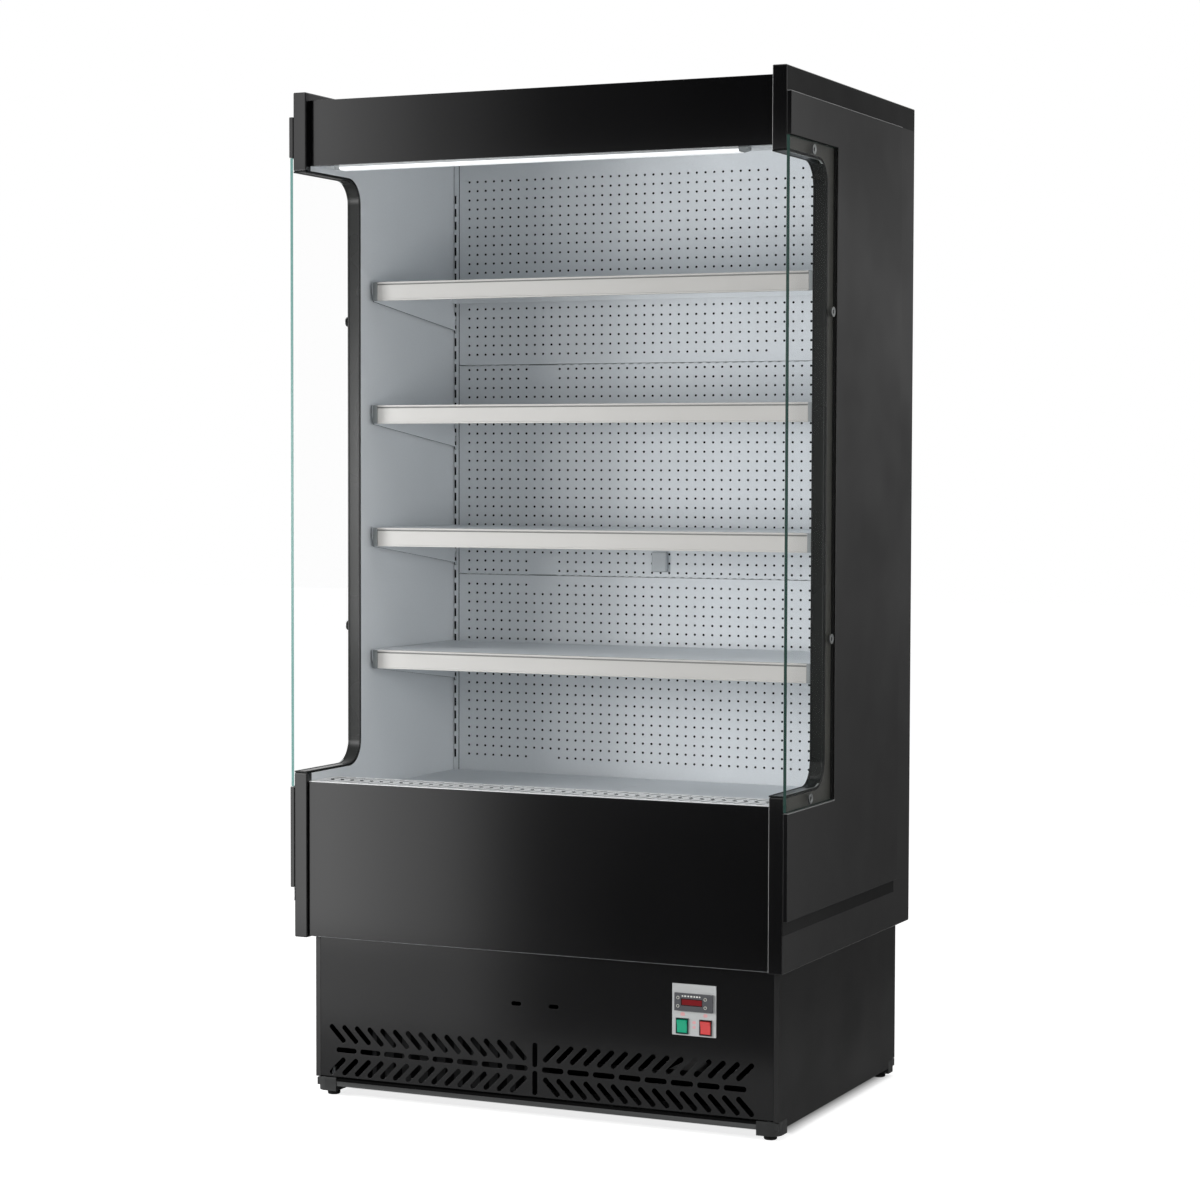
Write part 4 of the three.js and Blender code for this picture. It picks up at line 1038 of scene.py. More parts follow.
@dataclass
class RearDuct:
    """Punched duct panels, slotted uprights and the sensor tag."""

    columns: int = 47
    half_grid: float = 428.0
    hole_radius: float = 2.4
    hole_sides: int = 12
    sheet: float = 1.2
    fold: float = 9.0
    seam: float = 0.8
    side_gap: float = 1.3
    wall_gap: float = 1.0
    tag_x: tuple[float, float] = (-17.0, 16.0)
    tag_z: tuple[float, float] = (985.0, 1025.5)
    tag_depth: float = 6.0
    tag_radius: float = 4.0
    panels: tuple[DuctPanel, ...] = (
        DuctPanel("top", 20, 1773.5, 1422.2, ((0, 36, 38), (19, 36, 38))),
        DuctPanel("middle", 23, 1391.3, 983.3, ((0, 8, 10), (1, 8, 10), (21, 8, 10), (22, 8, 10))),
        DuctPanel("bottom", 20, 954.0, 603.6, ((0, 8, 10), (19, 8, 10))),
    )

    def build(self) -> None:
        """Builds the duct."""
        for panel in self.panels:
            self.punched(panel)
        for label, side in SIDES:
            self.upright(f"upright_{label}", side)
        self.tag()

    def upright(self, node: str, side: float) -> None:
        """Shapes one slotted upright, clear of the wall, with painted shade inside."""
        low, high = corners(node)
        outer = max(abs(low.x), abs(high.x))
        piece = shaped(node, f"slotted_{node}", 0)

        def flank(at: Vector, out: Vector) -> bool:
            """Tells whether a face lies against the wall."""
            return out.x * side > FACING and abs(at.x / MM) > outer - 0.5

        with editing(piece):
            pick(piece, "FACE", flank)
            slide(-side * self.wall_gap, 0, 0)

        def inside(at: Vector, out: Vector) -> bool:
            """Tells whether a face is inside the channel or its slots."""
            return at.y > low.y + 0.2 and (out.y > -0.5 or at.y > low.y + 2.5)

        # the inside of the channel and its slots is painted dark: painted shade
        dress(piece, WHITE_SHEET, [(CHANNEL_PAINTED_SHADE, inside)])
        deliver(piece, "white_liner", node)

    def pitch(self) -> float:
        """Returns the spacing of the columns in millimetres."""
        return 2 * self.half_grid / (self.columns - 1)

    def cell(self, pitch_z: float, at: Vector) -> Piece:
        """Makes one square of sheet round one hole: a ring drawn out to a square.

        Args:
            pitch_z: The square's height in millimetres.
            at: The hole's middle in metres.

        Returns:
            The square.
        """
        deselect()
        step = math.pi / self.hole_sides
        bpy.ops.mesh.primitive_circle_add(
            vertices=self.hole_sides,
            radius=self.hole_radius * MM,
            fill_type="NOTHING",
            location=at,
            rotation=(math.pi / 2, step, 0),
        )
        piece = take("cell")
        pitch_x = self.pitch()
        grow = MM / 2 / (self.hole_radius * MM * math.cos(step))
        half_x, half_z = pitch_x / 2 * MM, pitch_z / 2 * MM

        def by_corner(place: Vector, _: Vector) -> bool:
            """Tells whether a point is one of the four nearest to the corners."""
            across, up = abs(place.x - at.x), abs(place.z - at.z)
            return 0.6 * half_x < across < 0.9 * half_x and 0.6 * half_z < up < 0.9 * half_z

        with editing(piece, "VERT"):
            bpy.ops.mesh.select_all(action="SELECT")
            bpy.ops.mesh.extrude_edges_move(TRANSFORM_OT_translate={"value": (0, 0, 0)})
            bpy.ops.transform.resize(value=(pitch_x * grow, 1, pitch_z * grow), center_override=at)
            pick(piece, "VERT", by_corner)
            corner = math.cos(step) / math.cos(math.pi / 4)
            bpy.ops.transform.resize(value=(corner, 1, corner), center_override=at)
        return piece

    def punched(self, panel: DuctPanel) -> None:
        """Makes one panel: a field of cells, drawn out to its edges and folded back."""
        node = f"duct_panel_{panel.label}"
        low, high = corners(node)
        start = Vector((-self.half_grid, low.y, panel.first_row)) * MM
        piece = self.cell(panel.pitch(), start)
        repeated(piece, self.columns, self.pitch(), 0, 0, weld=True)
        repeated(piece, panel.rows, 0, 0, -panel.pitch(), weld=True)
        piece.name = piece.data.name = f"punched_{node}"
        with editing(piece):
            for blank in panel.blanks:
                self.close_holes(piece, panel, *blank)
            self.draw_out(piece, low, high)
            bpy.ops.mesh.select_all(action="SELECT")
            bpy.ops.mesh.normals_make_consistent(inside=False)
        if sum(face.normal.y * face.area for face in piece.data.polygons) > 0:
            piece.data.flip_normals()
        modify(piece, "SOLIDIFY", thickness=self.sheet * MM, offset=-1)
        reach = self.half_grid + self.hole_radius + 1

        def hole(at: Vector, out: Vector) -> bool:
            """Tells whether a face is the sheared wall of a hole."""
            inside = abs(at.x) < reach and panel.last_row - 4 < at.z < panel.first_row + 4
            return inside and abs(out.y) < 0.5

        # hole walls painted dark: painted shade inside the holes
        dress(piece, WHITE_SHEET, [(CUT_EDGE_AND_SHADE, hole)])
        deliver(piece, "white_liner", node)

    def close_holes(self, piece: Piece, panel: DuctPanel, row: int, first: int, last: int) -> None:
        """Closes the holes that the real panel leaves out for its fixings."""
        pitch_x, pitch_z, slack = self.pitch(), panel.pitch(), 0.05 * MM
        x0, x1 = ((-self.half_grid + at * pitch_x) * MM for at in (first - 0.5, last + 0.5))
        z0, z1 = ((panel.first_row - at * pitch_z) * MM for at in (row + 0.5, row - 0.5))

        def inside(at: Vector, _: Vector) -> bool:
            """Tells whether a place lies in the blank."""
            return x0 - slack < at.x < x1 + slack and z0 - slack < at.z < z1 + slack

        pick(piece, "FACE", inside)
        bpy.ops.mesh.delete(type="FACE")
        pick(piece, "EDGE", inside, rim=True)
        bpy.ops.mesh.edge_face_add()

    def draw_out(self, piece: Piece, low: Vector, high: Vector) -> None:
        """Draws the field's rim out to the panel's edges, then folds the edges back."""
        left, right = low.x + self.side_gap, high.x - self.side_gap
        foot, top = low.z + self.seam, high.z - self.seam
        slack = 0.1 * MM
        for axis, side, edge in (("x", -1, left), ("x", 1, right), ("z", -1, foot), ("z", 1, top)):
            points = bmesh.from_edit_mesh(piece.data).verts
            reach = max(side * getattr(v.co, axis) for v in points)
            pick(piece, "EDGE", lambda at, _: side * getattr(at, axis) > reach - slack, rim=True)
            step = (side * edge * MM - reach) * side
            move = (step, 0, 0) if axis == "x" else (0, 0, step)
            bpy.ops.mesh.extrude_edges_move(TRANSFORM_OT_translate={"value": move})

        def outer(at: Vector, _: Vector) -> bool:
            """Tells whether an edge lies on the panel's outline."""
            beside = at.x < left * MM + slack or at.x > right * MM - slack
            return beside or at.z < foot * MM + slack or at.z > top * MM - slack

        pick(piece, "EDGE", outer, rim=True)
        bpy.ops.mesh.extrude_edges_move(TRANSFORM_OT_translate={"value": (0, self.fold * MM, 0)})

    def tag(self) -> None:
        """Makes the small cover of the air sensor on the middle panel."""
        face = corners("duct_panel_middle")[0].y
        start = (self.tag_x[0], face - self.tag_depth, self.tag_z[0])
        piece = block("sensor_cover", start, (self.tag_x[1], face, self.tag_z[1]))
        with editing(piece, "EDGE"):
            pick(piece, "EDGE", lambda _, along: abs(along.y) > FACING)
            bevel(self.tag_radius, 4)
        with editing(piece):
            pick(piece, "FACE", lambda _, out: out.y < -FACING)
            inset(2.5, 1.5)
        round_edges(piece, 0.5, 2, 30)
        dress(piece, TAG_ABS)
        deliver(piece, "controller_grey")


@dataclass
class Shelves:
    """Four shelves, each with a pan, two brackets, a ticket rail and its end caps."""

    count: int = 4
    cap: float = 14.0
    cap_gap: float = 0.2
    cap_step: float = 0.3
    plan_radius: float = 9.0
    groove_drop: float = 3.4
    groove_width: float = 2.6
    groove_depth: float = 2.0
    foot_lip: float = 3.0

    def build(self) -> None:
        """Builds every shelf."""
        # bracket edges painted dark: the painted shadow under each bracket
        edges = [(CUT_EDGE_AND_SHADE, lambda _, out: abs(out.x) < FACING)]
        for number in range(1, self.count + 1):
            body = f"shelf_{number}"
            node, name = f"shelf_pan_{number}", f"shelf_tray_{number}"
            stand_in(node, name, "white_liner", WHITE_SHEET, (0.6, 2), body=body)
            for label, _ in SIDES:
                node, name = f"shelf_bracket_{number}_{label}", f"shelf_arm_{number}_{label}"
                stand_in(node, name, "white_liner", WHITE_SHEET, (0.3, 1), edges, body)
            self.rail(number, body)
            self.caps(number, body)

    def rail(self, number: int, body: str) -> None:
        """Makes the ticket rail: a strip with a groove under its top lip."""
        node = f"shelf_rail_{number}"
        low, high = corners(node)
        start, stop = (low.x + self.cap, low.y, low.z), (high.x - self.cap, high.y, high.z)
        strip = block(f"ticket_rail_{number}", start, stop)
        top = high.z - self.groove_drop
        floor, foot = top - self.groove_width, low.z + self.foot_lip
        split_at(strip, "Z", top, floor, foot)
        with editing(strip):
            pick(strip, "FACE", lambda at, out: out.y < -FACING and floor < at.z / MM < top)
            push(0, self.groove_depth, 0)
            # the card window stands back a little from the lips above and below it
            pick(strip, "FACE", lambda at, out: out.y < -FACING and foot < at.z / MM < floor)
            push(0, self.groove_depth / 2, 0)
        round_edges(strip, 0.5, 2, 35)

        def groove(at: Vector, _: Vector) -> bool:
            """Tells whether a face is in the groove."""
            return at.y > low.y + 0.6 and floor - 0.3 < at.z < top + 0.3

        # the groove is painted darker: painted shade under the top lip
        dress(strip, RAIL_ABS, [(RAIL_GROOVE_SHADE, groove)])
        deliver(strip, "rail_grey", node, body=body)

    def caps(self, number: int, body: str) -> None:
        """Makes the rail's end caps, rounded in plan."""
        low, high = corners(f"shelf_rail_{number}")
        reach = self.cap - self.cap_gap
        caps = []
        for side, start, stop in ((-1, low.x, low.x + reach), (1, high.x - reach, high.x)):
            near = (start, low.y, low.z + self.cap_step)
            cap = block("cap", near, (stop, high.y, high.z - self.cap_step))

            def nose(at: Vector, along: Vector) -> bool:
                """Tells whether an edge is the cap's outer front corner."""
                front = at.y / MM < low.y + 1 and side * at.x / MM > high.x - 1
                return front and abs(along.z) > FACING

            with editing(cap, "EDGE"):
                pick(cap, "EDGE", nose)
                bevel(self.plan_radius, 6)
            round_edges(cap, 0.8, 2, 40)
            caps.append(cap)
        piece = joined(caps, f"ticket_rail_caps_{number}")
        dress(piece, CAP_ABS)
        deliver(piece, "controller_grey", body=body)


@dataclass
class DeckAndGrille:
    """Deck pans with their finger hole and drip holes, and the slotted return grille."""

    finger_x: float = -14.0
    finger_inset: float = 14.0
    finger_length: float = 22.0
    finger_width: float = 13.0
    drip_radius: float = 1.6
    drip_holes: int = 9
    drip_pitch: float = 18.6
    drip_inset: float = 12.0
    drip_y: float = 55.0
    drill_depth: float = 6.0
    slot_pitch: float = 21.0
    slot_rows: tuple[float, ...] = (-28.0, 0.0, 28.0)
    slot_length: float = 28.0
    slot_width: float = 7.0
    slot_depth: float = 8.0
    slot_turn: float = 60.0
    wall: float = 1.0

    def build(self) -> None:
        """Builds the deck and the grille."""
        for label, _ in SIDES:
            node = f"deck_pan_{label}"
            piece = shaped(node, f"deck_tray_{label}", 0)
            cutter = self.finger_hole(node) if label == "left" else self.drips(node)
            cut_out(piece, cutter)
            round_edges(piece, 0.5, 2)
            dress(piece, WHITE_SHEET)
            deliver(piece, "white_liner", node, body=node)
        self.grille()

    def finger_hole(self, node: str) -> Piece:
        """Makes the cutter of the finger hole at the left pan's rear edge."""
        high = corners(node)[1]
        cutter = capsule(
            "finger", (0, 0, 0), self.finger_length, self.finger_width, self.drill_depth
        )
        cutter.rotation_euler = (math.pi / 2, 0, 0)
        cutter.location = Vector((self.finger_x, high.y - self.finger_inset, high.z)) * MM
        only(cutter)
        return take("finger_cutter")

    def drips(self, node: str) -> Piece:
        """Makes the cutter of the right pan's row of drip holes."""
        low, high = corners(node)
        first = low.x + self.drip_inset
        drills = []
        for index in range(self.drip_holes):
            middle = (first + index * self.drip_pitch, self.drip_y, high.z)
            hole = rod(f"drill_{index}", middle, self.drip_radius, self.drill_depth, "Z", 12)
            drills.append(hole)
        return joined(drills, "drip_cutter")

    def slots(self, low: Vector, high: Vector) -> Piece:
        """Makes the cutter of the grille's slots: three rows that slant in turn.

        Args:
            low: The grille's lowest corner.
            high: The grille's highest corner.

        Returns:
            The cutter.
        """
        size = (self.slot_length, self.slot_width, self.slot_depth)
        master = capsule("slot", (0, 0, 0), *size, 12)
        count = int((high.x - low.x - self.slot_pitch) // self.slot_pitch)
        cutters = []
        for row, shift in enumerate(self.slot_rows):
            turn = self.slot_turn if row % 2 == 0 else 180 - self.slot_turn
            for index in range(count):
                x = (index - (count - 1) / 2) * self.slot_pitch
                twin = master.copy()
                twin.data = master.data.copy()
                bpy.context.collection.objects.link(twin)
                twin.rotation_euler = (math.pi / 2, 0, math.radians(turn))
                twin.location = Vector((x, (low.y + high.y) / 2 + shift, high.z)) * MM
                cutters.append(twin)
        bpy.data.objects.remove(master)
        return joined(cutters, "slot_cutter")

    def grille(self) -> None:
        """Makes the grille: a folded lid with rows of slanted slots."""
        node = "return_air_grille"
        low, high = corners(node)
        floor, fold = high.z - self.wall, high.y - self.wall
        lid = block("return_grille", (low.x, low.y, floor), high)
        split_at(lid, "Y", fold)
        with editing(lid):
            pick(lid, "FACE", lambda at, out: out.z < -FACING and at.y / MM > fold)
            push(0, 0, -(floor - low.z))
        cut_out(lid, self.slots(low, high))
        round_edges(lid, 0.3, 1, 40)

        # the slot walls are painted darker: painted shade
        def slot_wall(at: Vector, out: Vector) -> bool:
            """Tells whether a face is the punched wall of a slot."""
            inside = floor < at.z < high.z and low.y + 1 < at.y < high.y - 2
            return inside and abs(out.z) < 0.5

        # the grille is painted brighter than the liner as light from above
        dress(lid, GRILLE_WHITE_LIT, [(SLOT_PAINTED_SHADE, slot_wall)])
        deliver(lid, "white_liner", node, body=node)


@dataclass
class MachineBase:
    """Base skin, frame, feet and the herringbone front."""

    diagonals: int = 15
    pitch: float = 27.2
    first: float = 33.7
    slot_length: float = 44.0
    slot_width: float = 10.0
    slot_slant: float = 45.0
    punch_depth: float = 12.0
    row_offset: float = 31.0
    mid_z: float = 90.0
    shift_x: float = -8.5
    dashes: int = 8
    dash_pitch: float = 51.3
    dash_first: float = 36.2
    dash_length: float = 43.0
    centre_length: float = 45.0
    centre_offset: float = 26.0
    latch_span: float = 76.0
    latch_z: float = 208.0
    latch_size: tuple[float, float] = (20.0, 8.0)
    window_lap: float = 2.0
    window_reach: float = 4.0
    corner_block: float = 44.0
    bar_line: float = 29.0
    foot_gap: float = 2.5
    thread_z: float = 10.0
    skin: float = 4.0

    def build(self) -> None:
        """Builds the base."""
        low, high = corners("base_shell")

        def inner_end(at: Vector, out: Vector) -> bool:
            """Tells whether a face is the inside of an end skin."""
            return out.x * at.x < 0 and abs(out.x) > FACING and abs(at.x) > high.x - self.skin

        parts = [
            (PRIMER_AND_SHADOW, inner_end),
            (PRIMER_AND_SHADOW, lambda at, out: out.y < -FACING and at.y > 0),
            (PRIMER_AND_SHADOW, lambda at, out: out.y > FACING and at.y < 0),
            (PLATE_BLACK, lambda at, out: out.y < -0.3 and at.y < low.y + 1),
        ]
        stand_in("base_shell", "base_skin", "black_satin", BASE_BLACK, (0.6, 2), parts)
        self.chassis()
        thread = [(FOOT_THREAD, lambda at, _: at.z > self.thread_z)]
        for place in ("front_left", "front_right", "rear_left", "rear_right"):
            node, name = f"foot_{place}", f"levelling_foot_{place}"
            stand_in(node, name, "foot_rubber", FOOT_RUBBER, (0.8, 2), thread, node)
        self.front()

    def chassis(self) -> None:
        """Shapes the ring of bars and corner blocks under the base."""
        ring = shaped("base_frame", "base_chassis", 1.0, 2)
        low, high = corners("base_frame")
        split_at(ring, "Z", self.bar_line)

        def bar_face(at: Vector, out: Vector) -> bool:
            """Tells whether a face is on the outside of the chassis, below the painted shadow along
            the bars' tops.
            """
            outward = (
                (out.y < -FACING and at.y < low.y + self.skin)
                or (out.y > FACING and at.y > high.y - self.skin)
                or (abs(out.x) > FACING and abs(at.x) > high.x - self.skin)
            )
            return outward and at.z < self.bar_line

        def corner(at: Vector, _: Vector) -> bool:
            """Tells whether a face is on a corner block."""
            reach = self.corner_block
            return abs(at.x) > high.x - reach and min(at.y - low.y, high.y - at.y) < reach

        # above bar_line the bars keep the dark primer: a painted shadow under the front sheet's
        # edge
        dress(ring, PRIMER_AND_SHADOW, [(CHASSIS_GREY, bar_face), (CORNER_NYLON, corner)])
        deliver(ring, "black_satin", "base_frame")

    def front(self) -> None:
        """Makes the front sheet and punches its herringbone and its latch slots."""
        node = "base_front_grille"
        low, high = corners(node)
        # its foot stands clear of the chassis bar and leaves a dark line
        sheet = block("base_front_sheet", (low.x, low.y, low.z + self.foot_gap), high)
        cutters: list[Piece] = []

        def punch(x: float, z: float, length: float, width: float, turn: float) -> None:
            """Adds one round-ended punch."""
            size = (length, width, self.punch_depth)
            tool = capsule(f"punch_{len(cutters)}", (x, low.y, z), *size, 20)
            tool.rotation_euler = (0, -math.radians(turn), 0)
            cutters.append(tool)

        for side in (-1, 1):
            for index in range(self.diagonals):
                x = self.shift_x + side * (self.first + index * self.pitch)
                for level in (-1, 1):
                    z = self.mid_z + level * self.row_offset
                    punch(x, z, self.slot_length, self.slot_width, side * level * self.slot_slant)
            for index in range(self.dashes):
                x = self.shift_x + side * (self.dash_first + index * self.dash_pitch)
                punch(x, self.mid_z, self.dash_length, self.slot_width, 0)
            z = self.mid_z + side * self.centre_offset
            punch(self.shift_x, z, self.centre_length, self.slot_width, 90)
            x = self.shift_x + side * self.latch_span / 2
            punch(x, self.latch_z, *self.latch_size, 0)
        plate_low, plate_high = corners("control_plate")
        lap, reach = self.window_lap, self.window_reach
        start = (plate_low.x + lap, low.y - reach, plate_low.z + lap)
        stop = (plate_high.x - lap, high.y + reach, plate_high.z - lap)
        cutters.append(block("window_cutter", start, stop))
        cut_out(sheet, joined(cutters, "front_cutter"))
        round_edges(sheet, 0.5, 2, 40)
        dress(sheet, PANEL_BLACK)
        deliver(sheet, "black_satin", node)


@dataclass
class Controls:
    """Control plate, temperature controller, keys and rocker switches."""

    plate_face: float = -306.6
    plate_depths: tuple[float, float] = (1.7, 3.0)
    window_depths: tuple[float, float] = (0.6, 1.0)
    housing_rim: float = 2.9
    key_rim: float = 1.1
    display_rim: float = 1.8
    mark_z: float = 249.0
    mark_height: float = 3.0
    print_depth: float = 0.2
    mark_row: tuple[tuple[float, float], ...] = (
        (287.0, 3.2), (292.2, 4.4), (298.2, 3.2), (304.0, 4.6), (309.8, 3.2), (315.0, 4.4),
        (320.2, 3.2),
    )
    spots: tuple[tuple[float, float, float, float], ...] = (
        (286.0, 215.8, 9.0, 6.8), (330.0, 216.0, 8.0, 6.2), (308.2, 202.0, 7.0, 5.4),
        (308.2, 193.5, 6.2, 5.0),
    )

    def build(self) -> None:
        """Builds the controls."""
        self.plate()
        self.controller()
        self.marks()
        for name in ("button_up", "button_down", "button_light", "button_set"):
            self.key(name)
        for name, finish, slot in (
            ("rocker_green", LENS_GREEN, "switch_green"),
            ("rocker_red", LENS_RED, "switch_red"),
        ):
            stand_in(name, f"{name}_lens", slot, finish, (0.8, 3), body=name)

    def plate(self) -> None:
        """Shapes the control plate with its two switch frames."""
        low, _ = corners("control_plate")

        def housing(rocker: str) -> Test:
            """Makes the test for one switch frame, round its rocker."""
            a, b = corners(rocker)
            rim, (near, far) = self.housing_rim, self.plate_depths

            def inside(at: Vector, _: Vector) -> bool:
                """Tells whether a face is on the frame, in front of the steel or behind it."""
                steel = near <= at.y - low.y <= far
                return a.x - rim < at.x < b.x + rim and at.z < b.z + rim and not steel

            return inside

        parts = [(FRAME_GREEN, housing("rocker_green")), (FRAME_RED, housing("rocker_red"))]
        stand_in("control_plate", "switch_plate", "silver_plate", BRUSHED_PLATE, (0.35, 2), parts)

    def controller(self) -> None:
        """Shapes the controller: a grey bezel round a dark red window."""
        node = "controller"
        low, _ = corners(node)
        near, far = self.window_depths
        body = shaped(node, "temperature_controller", 0)

        def window(at: Vector, out: Vector) -> bool:
            """Tells whether a face lies on the display window."""
            return out.y < -FACING and low.y + near < at.y < low.y + far

        with editing(body):
            pick(body, "FACE", lambda at, out: window(at / MM, out))
            inset(self.display_rim)
        round_edges(body, 0.4, 3)
        faces = body.data.polygons
        largest = max(f.area for f in faces if window(f.center / MM, f.normal))
        dress(body, CONTROLLER_ABS, [(DISPLAY_RIM, window)])
        body.data.materials.append(new_material(DISPLAY_RED.name, DISPLAY_RED.shade))
        for face in faces:
            if window(face.center / MM, face.normal) and face.area > 0.9 * largest:
                face.material_index = len(body.data.materials) - 1
        deliver(body, "controller_grey", node)

    def key(self, name: str) -> None:
        """Makes one round key with a dark dimple.

        Args:
            name: The key's node and body.
        """
        low, high = corners(name)
        key = shaped(name, f"{name}_key", 0)
        with editing(key):
            pick(key, "FACE", lambda _, out: out.y < -FACING)
            inset(self.key_rim)
            inset(0.2, -0.4)
        round_edges(key, 0.25, 2, 40)
        middle = (low + high) / 2
        reach = (high.x - low.x) / 2 - self.key_rim

        def dimple(at: Vector, out: Vector) -> bool:
            """Tells whether a face lies in the dimple."""
            return out.y < -0.5 and math.hypot(at.x - middle.x, at.z - middle.z) < reach

        dress(key, KEY_SILICONE, [(KEY_DIMPLE, dimple)])
        deliver(key, "key_pale", name, body=name)

    def marks(self) -> None:
        """Prints plain dots and dashes: one row over the display, and four dots by the switches."""
        bezel, depth = corners("controller")[0].y, self.print_depth
        row = [
            capsule(f"mark_{index}", (x, bezel, self.mark_z), length, self.mark_height, depth, 10)
            for index, (x, length) in enumerate(self.mark_row)
        ]
        spots = [
            capsule(f"spot_{index}", (x, self.plate_face, z), length, width, depth, 16)
            for index, (x, z, length, width) in enumerate(self.spots)
        ]
        for pieces, name, finish in (
            (row, "bezel_marks", PRINT_WHITE),
            (spots, "plate_marks", PRINT_PINK),
        ):
            prints = joined(pieces, name)
            dress(prints, finish)
            deliver(prints, "key_pale")


@dataclass
class CoolingMachinery:
    """The evaporator, the condensing unit and their fans."""

    fin_pitch: float = 3.2
    fin_thickness: float = 0.4
    fin_depth: float = 13.0
    fin_inset: float = 6.0
    core_depth: float = 57.0

    def build(self) -> None:
        """Dresses the machinery."""
        node = "evaporator_unit"
        stand_in(node, "evaporator_unit_assembly", "galvanised", ZINC, (0.3, 1))
        self.condenser()
        stand_in("compressor", "compressor_pot", "motor_black", POT_ENAMEL, (0.8, 2))
        for node in ("evaporator_fan_left", "evaporator_fan_right", "condenser_fan"):
            stand_in(node, f"{node}_wheel", "fan_plastic", FAN_NYLON, (0.4, 1), body=node)

    def condenser(self) -> None:
        """Dresses the condenser and lays its thin fins into the grooves of its front."""
        low, high = corners("condenser")
        name, shroud = "condenser_assembly", low.y + self.core_depth
        parts = [(SHROUD_PAINT, lambda at, _: at.y > shroud)]
        # the fins are painted black: painted shade behind the base's slots
        stand_in("condenser", name, "galvanised", FINS_PAINTED_SHADE, (0.3, 1), parts)
        start = (low.x + self.fin_inset, low.y + 0.4, low.z + 1)
        stop = (start[0] + self.fin_thickness, low.y + self.fin_depth, high.z - 1)
        fins = block("condenser_fins", start, stop)
        count = int((high.x - low.x - 2 * self.fin_inset) // self.fin_pitch)
        repeated(fins, count, self.fin_pitch, 0, 0)
        dress(fins, FINS_PAINTED_SHADE)
        deliver(fins, "galvanised")


# ------------------------------------------------------------------ studio


@dataclass(frozen=True)
class Softbox:
    """One soft lamp by its place, its size in metres and its brightness."""

    name: str
    place: tuple[float, float, float]
    width: float
    height: float
    radiance: float
    aim_height: float = 1.0


@dataclass(frozen=True)
class Card:
    """One studio card: its corners in millimetres, and how bright it is along one axis.

    Each stop is a place in metres along the axis with the brightness there.
    """

    name: str
    low: tuple[float, float, float]
    high: tuple[float, float, float]
    axis: int
    stops: tuple[tuple[float, float], ...]

    def shade(self, tree: Tree) -> bpy.types.Node:
        """Adds the card's graded glow."""
        start, end = self.stops[0][0], self.stops[-1][0]
        peak = max(level for _, level in self.stops)
        place = add_node(tree, "ShaderNodeTexCoord").outputs["Object"]
        apart = add_node(tree, "ShaderNodeSeparateXYZ", {0: place})
        inputs = {"Value": apart.outputs[self.axis], "From Min": start, "From Max": end}
        along = add_node(tree, "ShaderNodeMapRange", inputs)
        ramp = add_node(tree, "ShaderNodeValToRGB", {0: along})
        marks = ramp.color_ramp.elements
        while len(marks) < len(self.stops):
            marks.new(0.5)
        for mark, (spot, level) in zip(marks, self.stops):
            mark.position = (spot - start) / (end - start)
            mark.color = (level / peak,) * 3 + (1.0,)
        return add_node(tree, "ShaderNodeEmission", {"Color": ramp, "Strength": peak})


